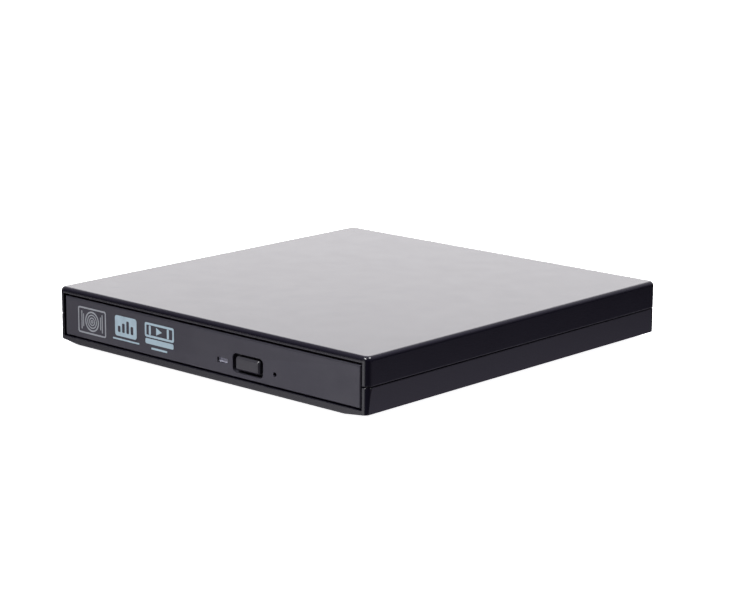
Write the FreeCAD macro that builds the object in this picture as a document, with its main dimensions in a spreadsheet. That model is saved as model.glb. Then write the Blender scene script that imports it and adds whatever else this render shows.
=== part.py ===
"""External slim optical drive: a parametric assembly in millimetres.

+Z is up, +X is to the right as seen from the front, and the front faces -Y.
The origin is the centre of the footprint, on the surface that the rubber feet stand on.
"""
import FreeCAD
import Part
import os
import re

# Driving dimensions. Names that start with z_ are heights above the surface the feet stand on.
SIZES = {
    # outer shells
    "body_width": 134.3, "body_depth": 140.0, "corner_round": 2.0, "top_round": 1.3,
    "z_base": 1.2, "z_bevel": 2.2, "bevel_width": 8.5, "side_draft": 0.4,
    "z_seam_low": 10.1, "z_seam_high": 10.55, "z_top": 19.2,
    "inner_half": 65.2, "front_wall": 2.0, "back_wall": 1.6, "z_floor": 2.8, "z_roof": 17.7,
    "open_half": 64.85, "z_open_low": 3.3, "z_open_high": 17.3,
    "lip_thick": 1.1, "lip_rise": 0.9, "lip_gap": 0.1, "lip_front": 0.7, "rib_x": 30.0, "rib_thick": 1.2,
    "foot_radius": 4.5, "foot_x": 50.0, "foot_y": 57.5, "foot_recess": 0.4,
    "mount_x": 56.5, "mount_front": -42.0, "mount_rear": 40.0, "mount_bore": 1.1, "mount_boss": 3.0,
    "post_x": 59.5, "post_y": 65.2, "post_radius": 2.5, "post_bore": 1.15,
    # slim drive case
    "case_half": 64.0, "case_front": -66.4, "case_rear": 59.6, "z_case": 3.8, "z_case_floor": 4.5,
    "case_sheet": 0.7, "z_pan_rim": 15.8, "z_cover": 15.9, "z_cover_top": 16.5,
    "flange_out": 63.2, "flange_in": 62.5, "z_flange": 14.6, "z_case_screw": 15.2,
    # guides and telescoping rails
    "guide_in": 61.3, "guide_back": 62.8, "z_guide_low": 7.2, "z_guide_high": 12.8,
    "z_groove_low": 8.7, "z_groove_high": 11.3, "guide_front": -62.0, "guide_rear": 49.0,
    "rail_in": 59.4, "rail_out": 62.7, "z_rail_low": 8.8, "z_rail_high": 11.2,
    "rail_front": -58.0, "rail_rear": 46.0, "rail_slot": 60.9, "z_slot_low": 9.5, "z_slot_high": 10.5,
    # bridge board and sockets at the back
    "z_board": 6.2, "z_board_top": 7.2, "board_left": -52.0, "board_right": 55.0,
    "board_front": 60.6, "board_rear": 68.2, "usb_x": -20.0, "usb_width": 7.7, "usb_height": 3.95,
    "usb_sheet": 0.35, "jack_x": 6.0, "z_jack": 9.9, "jack_width": 7.4, "jack_nose": 2.6,
    "jack_bore": 1.75, "jack_pin": 0.55, "plug_left": 27.0, "plug_right": 55.0,
    # tray moulding
    "disc_y": -4.5, "recess_radius": 60.3, "tray_half": 58.0, "tray_front": -66.55, "tray_rear": 57.0,
    "z_skirt": 5.9, "z_tray_floor": 10.4, "z_recess": 11.6, "z_rim": 14.2, "skirt": 1.2,
    "tongue_out": 60.8, "z_tongue_low": 9.6, "z_tongue_high": 10.4, "tongue_front": -60.0,
    "tongue_rear": 45.0, "corner_x": 24.6, "corner_y": 51.5,
    "z_under": 5.5, "under_right": 48.4, "lane_left": 48.8, "lane_right": 51.8, "z_lane": 9.0,
    # bezel and its controls
    "bezel_half": 64.2, "z_bezel": 3.7, "z_bezel_top": 16.45, "bezel_face": -69.85,
    "bezel_plate": 1.6, "bezel_wall": 1.4, "bezel_round": 0.5,
    "hole_x": 19.0, "z_hole": 8.2, "hole_wide": 12.8, "hole_tall": 6.0, "hole_round": 1.5,
    "button_x": 18.8, "z_button": 8.2, "button_wide": 10.1, "button_tall": 4.2,
    "button_round": 0.9, "button_bevel": 0.5,
    "window_x": 8.2, "z_window": 7.95, "window_wide": 4.4, "window_tall": 1.6, "window_recess": 0.8,
    "release_x": 30.25, "z_release": 7.54, "release_radius": 0.7,
    # tray board
    "z_pcb": 6.6, "z_pcb_top": 7.4, "pcb_left": -50.0, "pcb_front": -62.9, "pcb_rear": -34.0,
    "pcb_step_x": 26.0, "pcb_step_y": -46.0, "pcb_right": 46.0,
    # traverse, in its own frame: u runs from the spindle along the pickup's travel, v across it
    "traverse_angle": 132.0, "rod_v": 14.0, "z_rod": 8.6, "rod_radius": 1.0, "rod_start": 15.2,
    "rod_end": 65.8, "z_plate": 6.2, "z_plate_top": 7.0, "plate_half": 16.0, "plate_end": 66.2,
    "window_half": 12.0, "window_start": 15.0, "window_end": 63.2,
    "screw_v": -18.6, "z_screw": 8.2, "screw_radius": 1.2, "screw_start": 14.2, "screw_end": 54.6,
    "lens_u": 23.5, "slot_half": 6.2, "slot_start": 19.0, "slot_end": 59.0,
    # spindle motor and hub
    "rotor_radius": 14.0, "z_rotor": 7.9, "z_rotor_top": 11.9, "rotor_sheet": 0.6,
    "sleeve_bore": 1.05, "sleeve_radius": 2.6, "shaft_radius": 1.0, "base_radius": 13.0,
    "stator_radius": 11.8, "poles": 9, "hub_radius": 7.3, "z_hub_top": 14.7,
    "hub_bevel": 0.5, "hub_dish": 5.6, "dish_depth": 0.35, "hub_boss": 1.9, "window_in": 4.4, "window_out": 6.3,
    "ring_in": 10.0, "ring_out": 13.6, "z_ring_top": 12.3, "claw_wide": 3.0, "claw_reach": 7.8,
    "claw_root": 4.0, "z_claw": 13.0, "z_claw_top": 14.0, "claw_gap": 0.1,
    # latch, solenoid and ejector
    "pivot_x": 50.5, "pivot_y": -62.3, "pin_radius": 1.0, "latch_swing": 8.0,
    "z_latch": 6.6, "z_latch_top": 7.8, "catch_x": 50.3, "catch_y": -51.5, "catch_radius": 1.0,
    "plunger_x": 38.0, "z_plunger": 9.0, "plunger_radius": 1.0, "plunger_pull": 1.74,
    "ejector_x": 20.0, "z_ejector": 8.2, "ejector_radius": 1.1, "ejector_tip": 58.7,
    "collar_front": 34.0, "spring_front": 21.2, "spring_radius": 1.7, "spring_wire": 0.25,
    "spring_turns": 9, "flex_left": 24.0, "flex_right": 44.0, "flex_thick": 0.12,
}

doc = FreeCAD.newDocument("optical_drive")
sheet = doc.addObject("Spreadsheet::Sheet", "Sizes")
for row, (alias, value) in enumerate(SIZES.items(), start=1):
    sheet.set("A%d" % row, alias)
    sheet.set("B%d" % row, str(value))
    sheet.setAlias("B%d" % row, alias)
doc.recompute()

NODES = []
WORD = re.compile(r"[a-z][a-z0-9_]*")
# Rotations that turn a cylinder's own +Z towards each axis.
AXIS_TURN = {
    "x": FreeCAD.Rotation(FreeCAD.Vector(0, 1, 0), 90),
    "y": FreeCAD.Rotation(FreeCAD.Vector(1, 0, 0), -90),
    "z": FreeCAD.Rotation(),
}


def formula(text):
    """Turn a size name or sum of names into an expression on the sheet."""
    def cell(match):
        word = match.group(0)
        return "Sizes." + word if word in SIZES else word
    return WORD.sub(cell, str(text))


def bind(obj, prop, text):
    obj.setExpression(prop, formula(text))


def block(name, x, y, z):
    """Box between two expressions along each axis."""
    box = doc.addObject("Part::Box", name)
    for length, base, (low, high) in zip(("Length", "Width", "Height"), "xyz", (x, y, z)):
        bind(box, length, "(%s) - (%s)" % (high, low))
        bind(box, "Placement.Base." + base, low)
    return box


def rod(name, axis, centre, span, radius):
    """Cylinder along one axis; centre gives its two other coordinates in X, Y, Z order."""
    cyl = doc.addObject("Part::Cylinder", name)
    cyl.Placement = FreeCAD.Placement(FreeCAD.Vector(), AXIS_TURN[axis])
    bind(cyl, "Radius", radius)
    bind(cyl, "Height", "(%s) - (%s)" % (span[1], span[0]))
    others = [letter for letter in "xyz" if letter != axis]
    bind(cyl, "Placement.Base." + axis, span[0])
    for letter, value in zip(others, centre):
        bind(cyl, "Placement.Base." + letter, value)
    return cyl


def slab(name, low_half, high_half, z):
    """Full-depth slab whose half width changes from its lower to its upper face."""
    wedge = doc.addObject("Part::Wedge", name)
    wedge.Placement = FreeCAD.Placement(FreeCAD.Vector(), FreeCAD.Rotation(FreeCAD.Vector(1, 0, 0), 90))
    values = {
        "Xmin": "-(%s)" % low_half, "Xmax": low_half, "X2min": "-(%s)" % high_half, "X2max": high_half,
        "Ymin": z[0], "Ymax": z[1], "Zmin": "-body_depth / 2", "Zmax": "body_depth / 2",
        "Z2min": "-body_depth / 2", "Z2max": "body_depth / 2",
    }
    for prop, text in values.items():
        bind(wedge, prop, text)
    return wedge


def fuse(name, *parts):
    """Union of the parts; a single part is passed through."""
    if len(parts) == 1:
        return parts[0]
    union = doc.addObject("Part::MultiFuse", name)
    union.Shapes = list(parts)
    return union


def cut(name, base, *tools):
    """Base with every tool taken away."""
    result = doc.addObject("Part::Cut", name)
    result.Base = base
    result.Tool = fuse(name + "_tools", *tools)
    return result


def common(name, *parts):
    """What all the parts share."""
    result = doc.addObject("Part::MultiCommon", name)
    result.Shapes = list(parts)
    return result


def group(name, *parts):
    """Separate solids that share one node."""
    result = doc.addObject("Part::Compound", name)
    result.Links = list(parts)
    return result


def rounded(name, base, radius, picks):
    """Fillet the edges of base that picks(edge) accepts."""
    doc.recompute()
    size = sheet.get(radius)
    fillet = doc.addObject("Part::Fillet", name)
    fillet.Base = base
    fillet.Edges = [(i, size, size) for i, edge in enumerate(base.Shape.Edges, 1) if picks(edge)]
    return fillet


def bevelled(name, base, size, picks):
    """Chamfer the edges of base that picks(edge) accepts."""
    doc.recompute()
    width = sheet.get(size)
    chamfer = doc.addObject("Part::Chamfer", name)
    chamfer.Base = base
    chamfer.Edges = [(i, width, width) for i, edge in enumerate(base.Shape.Edges, 1) if picks(edge)]
    return chamfer


def runs_along(letter):
    """Edge filter: straight edges parallel to one axis."""
    def test(edge):
        box = edge.BoundBox
        spans = {"x": box.XLength, "y": box.YLength, "z": box.ZLength}
        own = spans.pop(letter)
        return own > 0.5 and max(spans.values()) < 1e-6
    return test


def at_level(letter, level):
    """Edge filter: edges that lie in one plane across an axis."""
    def test(edge):
        box = edge.BoundBox
        low, high = {
            "x": (box.XMin, box.XMax), "y": (box.YMin, box.YMax), "z": (box.ZMin, box.ZMax),
        }[letter]
        return abs(low - level) < 1e-4 and abs(high - level) < 1e-4
    return test


def place(obj, x="0", y="0", angle="0"):
    """Turn an object about +Z and move it, both bound to the sheet."""
    if obj.TypeId in ("Part::Box", "Part::Cylinder"):
        obj = group(obj.Name + "_placed", obj)  # its own Placement already holds its position
    obj.Placement = FreeCAD.Placement(FreeCAD.Vector(), FreeCAD.Rotation(FreeCAD.Vector(0, 0, 1), 30))
    bind(obj, "Placement.Rotation.Angle", angle)
    bind(obj, "Placement.Base.x", x)
    bind(obj, "Placement.Base.y", y)
    return obj


def on_traverse(obj):
    return place(obj, "0", "disc_y", "traverse_angle")


def node(obj, label):
    obj.Label = label
    NODES.append((label, obj))
    return obj


def at_each(make, spots):
    return [make(i, *spot) for i, spot in enumerate(spots)]


def screw(name, x, y, head, shank, head_radius, shank_radius):
    """Vertical screw: head and shank are (low, high) spans."""
    return fuse(name, rod(name + "_head", "z", (x, y), head, head_radius),
                rod(name + "_shank", "z", (x, y), shank, shank_radius))


FRONT = "-body_depth / 2"
BACK = "body_depth / 2"
CORNERS = [("-1", "-1"), ("1", "-1"), ("-1", "1"), ("1", "1")]
MOUNTS = [("%s * mount_x" % sx, y) for sx in ("-1", "1") for y in ("mount_front", "mount_rear")]
POSTS = [("-post_x", "post_y"), ("post_x", "post_y")]
BOARD_SCREWS = [("-46", "64.5"), ("22", "64.5")]


def seam_wall_pocket(name, gap, z):
    """Ring along the left, right and back walls that the lip fills; gap widens it."""
    reach = "inner_half + lip_thick + %s" % gap
    return block(name + "_out", ("-(%s)" % reach, reach),
                 (FRONT + " + lip_front - %s" % gap, BACK + " - back_wall + lip_thick + %s" % gap), z)


def socket_openings(name):
    """Tools for the openings at the back: the USB socket and the power jack."""
    usb = block(name + "_usb", ("usb_x - usb_width / 2 - 0.2", "usb_x + usb_width / 2 + 0.2"),
                (BACK + " - 3", BACK + " + 1"), ("z_board_top - 0.2", "z_board_top + usb_height + 0.2"))
    jack = rod(name + "_jack", "y", ("jack_x", "z_jack"), (BACK + " - 3", BACK + " + 1"), "jack_nose + 0.2")
    return [usb, jack]


# ---- lower shell ------------------------------------------------------------------------------
rounded_box = rounded(
    "lower_round",
    block("lower_box", ("-body_width / 2", "body_width / 2"), (FRONT, BACK), ("z_base", "z_seam_low")),
    "corner_round", runs_along("z"))
section = fuse(
    "lower_section",
    slab("lower_bevel", "body_width / 2 - side_draft - bevel_width", "body_width / 2 - side_draft",
         ("z_base", "z_bevel")),
    slab("lower_side", "body_width / 2 - side_draft", "body_width / 2", ("z_bevel", "z_seam_low")))
lower_outer = common("lower_outer", rounded_box, section)
lower_cavity = block("lower_cavity", ("-inner_half", "inner_half"),
                     (FRONT + " + front_wall", BACK + " - back_wall"), ("z_floor", "z_seam_low + 1"))
lower_opening = block("lower_opening", ("-open_half", "open_half"), (FRONT + " - 1", FRONT + " + front_wall + 1"),
                      ("z_open_low", "z_seam_low + 1"))
lower_tub = cut("lower_tub", lower_outer, lower_cavity, lower_opening)
lip = cut("lower_lip",
          seam_wall_pocket("lip", "0", ("z_seam_low - 1", "z_seam_low + lip_rise")),
          block("lip_core", ("-inner_half", "inner_half"), (FRONT, BACK + " - back_wall"),
                ("z_seam_low - 2", "z_seam_low + 3")))
bosses = at_each(lambda i, x, y: rod("mount_boss_%d" % i, "z", (x, y), ("z_floor - 0.2", "z_case"), "mount_boss"),
                 MOUNTS)
bosses += at_each(lambda i, x, y: rod("shell_post_%d" % i, "z", (x, y), ("z_floor - 0.2", "z_seam_low"),
                                      "post_radius"), POSTS)
bosses += at_each(lambda i, x, y: rod("board_post_%d" % i, "z", (x, y), ("z_floor - 0.2", "z_board"), "2"),
                  BOARD_SCREWS)
bores = at_each(lambda i, x, y: rod("mount_bore_%d" % i, "z", (x, y), ("0", "z_case + 1"), "mount_bore"), MOUNTS)
bores += at_each(lambda i, x, y: rod("mount_sink_%d" % i, "z", (x, y), ("0", "2.1"), "2.1"), MOUNTS)
bores += at_each(lambda i, x, y: rod("shell_bore_%d" % i, "z", (x, y), ("0", "z_seam_low + 1"), "post_bore"), POSTS)
bores += at_each(lambda i, x, y: rod("shell_sink_%d" % i, "z", (x, y), ("0", "2.5"), "2.2"), POSTS)
bores += at_each(lambda i, x, y: rod("board_hole_%d" % i, "z", (x, y), ("3.4", "z_board + 1"), "0.7"),
                 BOARD_SCREWS)
bores += at_each(lambda i, sx, sy: rod("foot_seat_%d" % i, "z", (sx + " * foot_x", sy + " * foot_y"),
                                       ("0", "z_base + foot_recess"), "foot_radius"), CORNERS)
node(cut("lower_shell", fuse("lower_body", lower_tub, lip, *bosses), *(bores + socket_openings("lower"))),
     "lower_shell")

# ---- upper shell ------------------------------------------------------------------------------
upper_box = block("upper_box", ("-body_width / 2", "body_width / 2"), (FRONT, BACK), ("z_seam_high", "z_top"))
upper_round = rounded("upper_round", upper_box, "corner_round", runs_along("z"))
upper_soft = rounded("upper_soft", upper_round, "top_round", at_level("z", SIZES["z_top"]))
upper_cavity = block("upper_cavity", ("-inner_half", "inner_half"),
                     (FRONT + " + front_wall", BACK + " - back_wall"), ("z_seam_low", "z_roof"))
upper_opening = block("upper_opening", ("-open_half", "open_half"), (FRONT + " - 1", FRONT + " + front_wall + 1"),
                      ("z_seam_low", "z_open_high"))
lip_pocket = seam_wall_pocket("upper_pocket", "lip_gap", ("z_seam_low", "z_seam_low + lip_rise + lip_gap"))
ribs = [block("roof_rib_%d" % i, ("%s * rib_x - rib_thick / 2" % s, "%s * rib_x + rib_thick / 2" % s),
              ("-50", "50"), ("z_cover_top + 0.1", "z_roof + 0.2")) for i, s in enumerate(("-1", "1"))]
upper_posts = at_each(lambda i, x, y: rod("upper_post_%d" % i, "z", (x, y), ("z_seam_high", "z_roof + 0.2"),
                                          "post_radius"), POSTS)
upper_bores = at_each(lambda i, x, y: rod("upper_bore_%d" % i, "z", (x, y), ("z_seam_low", "16"), "0.95"), POSTS)
upper_tub = cut("upper_tub", upper_soft, upper_cavity, upper_opening, lip_pocket)
node(cut("upper_shell", fuse("upper_body", upper_tub, *(ribs + upper_posts)),
         *(upper_bores + socket_openings("upper"))), "upper_shell")

# ---- feet and screws of the enclosure -----------------------------------------------------------
node(group("rubber_feet", *at_each(
    lambda i, sx, sy: rod("foot_%d" % i, "z", (sx + " * foot_x", sy + " * foot_y"),
                          ("0", "z_base + foot_recess"), "foot_radius"), CORNERS)), "rubber_feet")
node(group("shell_screws", *at_each(
    lambda i, x, y: screw("shell_screw_%d" % i, x, y, ("1.5", "2.5"), ("2.5", "14"), "2.0", "0.95"), POSTS)),
    "shell_screws")
node(group("drive_mount_screws", *at_each(
    lambda i, x, y: screw("mount_screw_%d" % i, x, y, ("1.3", "2.1"), ("2.1", "z_case_floor - 0.05"),
                          "1.9", "0.95"), MOUNTS)), "drive_mount_screws")

# ---- bridge board and the sockets at the back ---------------------------------------------------
board = block("bridge_blank", ("board_left", "board_right"), ("board_front", "board_rear"),
              ("z_board", "z_board_top"))
node(cut("bridge_board", board, *at_each(
    lambda i, x, y: rod("bridge_hole_%d" % i, "z", (x, y), ("z_board - 1", "z_board_top + 1"), "0.8"),
    BOARD_SCREWS)), "bridge_board")
BRIDGE_CHIPS = [("-12.5", "-6.5", "61.4", "67.4", "1.0"), ("-36", "-31", "62", "65.2", "1.3"),
                ("13.2", "15.2", "62", "66", "1.8"), ("-42.5", "-40.5", "62", "65", "1.2"),
                ("-28.5", "-27", "63", "66", "0.9")]
node(group("bridge_chips", *at_each(
    lambda i, x0, x1, y0, y1, tall: block("bridge_chip_%d" % i, (x0, x1), (y0, y1),
                                          ("z_board_top", "z_board_top + " + tall)), BRIDGE_CHIPS)),
    "bridge_chips")
node(fuse("bridge_connector",
          block("bridge_plug_body", ("plug_left + 0.3", "plug_right - 0.3"), ("case_rear + 0.2", "64"),
                ("z_board_top", "11.2")),
          block("bridge_plug_blade", ("plug_left + 2.4", "plug_right - 2.4"), ("57", "case_rear + 0.3"),
                ("7.65", "8.15"))), "bridge_connector")

USB_X = ("usb_x - usb_width / 2", "usb_x + usb_width / 2")
usb_outer = bevelled("usb_outer", block("usb_block", USB_X, ("60.9", BACK + " - 0.1"),
                                        ("z_board_top", "z_board_top + usb_height")), "bezel_round",
                     lambda edge: runs_along("y")(edge) and at_level("z", SIZES["z_board_top"])(edge))
usb_hollow = block("usb_hollow", ("usb_x - usb_width / 2 + usb_sheet", "usb_x + usb_width / 2 - usb_sheet"),
                   ("61.6", BACK), ("z_board_top + usb_sheet", "z_board_top + usb_height - usb_sheet"))
node(cut("usb_socket", usb_outer, usb_hollow), "usb_socket")
node(fuse("usb_insert",
          block("usb_back", ("usb_x - usb_width / 2 + usb_sheet", "usb_x + usb_width / 2 - usb_sheet"),
                ("61.6", "63.6"), ("z_board_top + usb_sheet", "z_board_top + usb_height - usb_sheet")),
          block("usb_tongue", ("usb_x - 2.5", "usb_x + 2.5"), ("63.5", "69"),
                ("z_board_top + 1.7", "z_board_top + 2.6"))), "usb_insert")
jack_body = fuse("jack_solid",
                 block("jack_block", ("jack_x - jack_width / 2", "jack_x + jack_width / 2"),
                       ("61.2", BACK + " - back_wall - 0.3"), ("z_board_top", "12.6")),
                 rod("jack_collar", "y", ("jack_x", "z_jack"), ("67.5", BACK + " - 0.3"), "jack_nose"))
node(cut("dc_jack", jack_body, rod("jack_hollow", "y", ("jack_x", "z_jack"), ("62.2", BACK), "jack_bore")),
     "dc_jack")
node(rod("dc_jack_pin", "y", ("jack_x", "z_jack"), ("62.2", "68.8"), "jack_pin"), "dc_jack_pin")

# ---- slim drive case ------------------------------------------------------------------------------
pan_outer = block("pan_outer", ("-case_half", "case_half"), ("case_front", "case_rear"), ("z_case", "z_pan_rim"))
pan_inner = block("pan_inner", ("-case_half + case_sheet", "case_half - case_sheet"),
                  ("case_front - 1", "case_rear - case_sheet"), ("z_case_floor", "z_pan_rim + 1"))
CONNECTOR_SCREWS = [("26.9", "57"), ("55", "57")]
SIDE_SCREWS = [(s, y) for s in ("-1", "1") for y in ("-50", "48")]
pan_spacers = at_each(lambda i, x, y: rod("pan_spacer_%d" % i, "z", (x, y), ("z_case_floor - 0.2", "5.2"), "1.5"),
                      CONNECTOR_SCREWS)


def side_screw_span(sign, near, far):
    """Low and high X of something between two distances from the middle, on one side."""
    return (near, far) if sign == "1" else ("-(%s)" % far, "-(%s)" % near)


pan_cuts = [
    block("pan_plug_hole", ("plug_left", "plug_right"), ("case_rear - 2", "case_rear + 1"), ("6.0", "11.6")),
    block("pan_emboss_left", ("-40", "-12"), ("-45", "45"), ("z_case - 1", "z_case + 0.2")),
    block("pan_emboss_right", ("-4", "20"), ("-45", "45"), ("z_case - 1", "z_case + 0.2")),
    rod("pan_catch_hole", "z", ("catch_x", "catch_y"), ("z_case - 1", "z_case_floor + 1"), "catch_radius"),
]
pan_cuts += at_each(lambda i, x, y: rod("pan_mount_%d" % i, "z", (x, y), ("z_case - 1", "z_case_floor + 1"), "1"),
                    MOUNTS)
pan_cuts += at_each(lambda i, x, y: rod("pan_pilot_%d" % i, "z", (x, y), ("z_case_floor - 0.3", "6"), "0.65"),
                    CONNECTOR_SCREWS)
pan_cuts += at_each(lambda i, s, y: rod("pan_side_hole_%d" % i, "x", (y, "z_case_screw"),
                                        side_screw_span(s, "63", "64.5"), "0.65"), SIDE_SCREWS)
pan_shell = cut("pan_shell", pan_outer, pan_inner)
node(cut("drive_bottom_case", fuse("pan_body", pan_shell, *pan_spacers), *pan_cuts), "drive_bottom_case")

cover_flanges = [block("cover_flange_%d" % i, side_screw_span(s, "flange_in", "flange_out"), ("-60", "55"),
                       ("z_flange", "z_cover + 0.1")) for i, s in enumerate(("-1", "1"))]
cover_flanges.append(block("cover_rear_flange", ("-60", "60"), ("case_rear - 1.5", "case_rear - 0.8"),
                           ("z_flange", "z_cover + 0.1")))
cover_plate = block("cover_plate", ("-case_half", "case_half"), ("case_front", "case_rear"),
                    ("z_pan_rim", "z_cover_top"))
cover_cuts = [rod("cover_emboss", "z", ("0", "disc_y"), ("z_cover_top - 0.2", "z_cover_top + 1"), "30")]
cover_cuts += at_each(lambda i, s, y: rod("flange_hole_%d" % i, "x", (y, "z_case_screw"),
                                          side_screw_span(s, "62", "63.5"), "0.65"), SIDE_SCREWS)
node(cut("drive_top_cover", fuse("cover_body", cover_plate, *cover_flanges), *cover_cuts), "drive_top_cover")

case_screws = at_each(lambda i, s, y: fuse(
    "side_screw_%d" % i,
    rod("side_head_%d" % i, "x", (y, "z_case_screw"), side_screw_span(s, "64", "64.5"), "1.2"),
    rod("side_shank_%d" % i, "x", (y, "z_case_screw"), side_screw_span(s, "62", "64.1"), "0.6")), SIDE_SCREWS)
case_screws += at_each(lambda i, x, y: screw("board_screw_%d" % i, x, y, ("z_board_top", "z_board_top + 0.5"),
                                             ("z_board_top - 2.6", "z_board_top + 0.1"), "1.2", "0.6"),
                       BOARD_SCREWS)
case_screws += at_each(lambda i, x, y: screw("rear_screw_%d" % i, x, y, ("6.2", "6.7"), ("4.3", "6.3"),
                                             "1.2", "0.6"), CONNECTOR_SCREWS)
node(group("case_screws", *case_screws), "case_screws")

connector_blank = block("connector_blank", ("25.4", "57"), ("52.4", "58.7"), ("5.2", "6.2"))
node(cut("connector_board", connector_blank, *at_each(
    lambda i, x, y: rod("connector_hole_%d" % i, "z", (x, y), ("5", "7"), "0.65"), CONNECTOR_SCREWS)),
    "connector_board")
plug_housing = block("plug_housing", ("plug_left + 1.6", "plug_right - 1.6"), ("53.8", "case_rear - 0.1"),
                     ("6.2", "11.2"))
plug_mouth = block("plug_mouth", ("plug_left + 2.2", "plug_right - 2.2"), ("56", "case_rear"), ("7.2", "10.2"))
plug_tongue = block("plug_tongue", ("plug_left + 3", "plug_right - 3"), ("55.8", "58.9"), ("8.3", "9.1"))
node(fuse("drive_connector", cut("plug_hollow", plug_housing, plug_mouth), plug_tongue), "drive_connector")

node(fuse("latch_post",
          rod("catch_pin", "z", ("catch_x", "catch_y"), ("z_case + 0.1", "8.6"), "catch_radius"),
          rod("catch_flange", "z", ("catch_x", "catch_y"), ("z_case_floor", "z_case_floor + 0.4"), "2")),
     "latch_post")

# ---- guides and rails -----------------------------------------------------------------------------
for side, sign in (("left", "-1"), ("right", "1")):
    guide = block("guide_blank_" + side, side_screw_span(sign, "guide_in", "case_half - case_sheet"),
                  ("guide_front", "guide_rear"), ("z_guide_low", "z_guide_high"))
    guide_groove = block("guide_groove_" + side, side_screw_span(sign, "guide_in - 1", "guide_back"),
                         ("guide_front - 1", "guide_rear + 1"), ("z_groove_low", "z_groove_high"))
    node(cut("guide_" + side, guide, guide_groove), "guide_" + side)
    bar = block("rail_blank_" + side, side_screw_span(sign, "rail_in", "rail_out"),
                ("rail_front", "rail_rear"), ("z_rail_low", "z_rail_high"))
    bar_slot = block("rail_slot_" + side, side_screw_span(sign, "rail_in - 1", "rail_slot"),
                     ("rail_front - 1", "rail_rear + 1"), ("z_slot_low", "z_slot_high"))
    node(cut("rail_" + side, bar, bar_slot), "rail_" + side)

# ---- main flex cable: folded under the tray ---------------------------------------------------------
FLEX_X = ("flex_left", "flex_right")
FLEX_RUNS = [
    (("52.2", "54"), ("5.08", "5.2")), (("52.2 - flex_thick", "52.2"), ("4.55", "5.2")),
    (("-55", "52.2"), ("4.55", "4.55 + flex_thick")), (("-55 - flex_thick", "-55"), ("4.55", "4.92")),
    (("-55", "45"), ("4.92 - flex_thick", "4.92")), (("45", "45 + flex_thick"), ("4.92 - flex_thick", "5.42")),
    (("-31", "45"), ("5.42 - flex_thick", "5.42")), (("-31 - flex_thick", "-31"), ("5.42 - flex_thick", "8.3")),
    (("-34.4", "-31"), ("8.3 - flex_thick", "8.3")),
]
node(fuse("main_flex", *at_each(lambda i, y, z: block("flex_run_%d" % i, FLEX_X, y, z), FLEX_RUNS)), "main_flex")

# ---- traverse pieces, modelled in the traverse's own frame ------------------------------------------
deck = fuse("deck",
            block("deck_main", ("-15", "plate_end"), ("-plate_half", "plate_half"), ("z_plate", "z_plate_top")),
            block("deck_motor_side", ("1.5", "57.5"), ("-22", "-plate_half + 1"), ("z_plate", "z_plate_top")),
            block("deck_ear", ("36", "44"), ("plate_half - 1", "21.6"), ("z_plate", "z_plate_top")),
            block("screw_support", ("54.8", "55.8"), ("-20.2", "-17.2"), ("z_plate", "10")),
            block("motor_flange", ("13.1", "14"), ("-21.5", "-16.4"), ("z_plate", "10.1")),
            *[block("rod_clamp_%d" % i, u, ("%s * rod_v - 1.4" % s, "%s * rod_v + 1.4" % s),
                    ("z_plate", "9.9"))
              for i, (s, u) in enumerate([(s, u) for s in ("-1", "1")
                                          for u in (("15", "16.8"), ("63.5", "plate_end"))])])
DAMPERS = [("-11", "12.5"), ("-11", "-12.5"), ("40", "18.8")]
deck_cuts = [block("deck_window", ("window_start", "window_end"), ("-window_half", "window_half"), ("5", "8")),
             block("deck_motor_hole", ("1.9", "13.1"), ("-21.7", "-16"), ("5", "z_plate_top + 0.01")),
             rod("deck_sleeve_hole", "z", ("0", "0"), ("5", "8"), "sleeve_radius"),
             rod("screw_journal_hole", "x", ("screw_v", "z_screw"), ("12", "57"), "0.65")]
deck_cuts += [rod("clamp_bore_%d" % i, "x", ("%s * rod_v" % s, "z_rod"), ("rod_start", "rod_end"), "rod_radius")
              for i, s in enumerate(("-1", "1"))]
deck_cuts += at_each(lambda i, u, v: rod("damper_seat_%d" % i, "z", (u, v), ("5", "8"), "1.9"), DAMPERS)
node(on_traverse(cut("traverse_plate", deck, *deck_cuts)), "traverse_plate")
node(on_traverse(group("guide_rods", *[
    rod("guide_rod_%d" % i, "x", ("%s * rod_v" % s, "z_rod"), ("rod_start", "rod_end"), "rod_radius")
    for i, s in enumerate(("-1", "1"))])), "guide_rods")
node(on_traverse(group("dampers", *at_each(
    lambda i, u, v: cut("damper_%d" % i, fuse(
        "damper_body_%d" % i, rod("damper_core_%d" % i, "z", (u, v), ("z_plate", "z_plate_top + 0.1"), "1.9"),
        rod("damper_flange_%d" % i, "z", (u, v), ("z_plate_top", "7.5"), "2.5")),
        rod("damper_bore_%d" % i, "z", (u, v), ("5", "9"), "1.0")), DAMPERS))), "dampers")
node(on_traverse(group("traverse_screws", *at_each(
    lambda i, u, v: screw("traverse_screw_%d" % i, u, v, ("5.95", "z_plate"), ("z_plate - 0.1", "9.4"),
                          "2.3", "0.95"), DAMPERS))), "traverse_screws")
node(on_traverse(cut("motor_base", rod("motor_disc", "z", ("0", "0"), ("z_plate_top", "7.6"), "base_radius"),
                     rod("motor_disc_hole", "z", ("0", "0"), ("5", "9"), "sleeve_radius"),
                     *at_each(lambda i, u, v: rod("base_relief_%d" % i, "z", (u, v), ("5", "9"), "4"),
                              DAMPERS[:2]))), "motor_base")
sleeve = cut("sleeve", rod("sleeve_out", "z", ("0", "0"), ("6.25", "10.8"), "sleeve_radius"),
             rod("sleeve_in", "z", ("0", "0"), ("6.5", "11"), "sleeve_bore"))
node(on_traverse(sleeve), "bearing_sleeve")
arms = []
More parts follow.
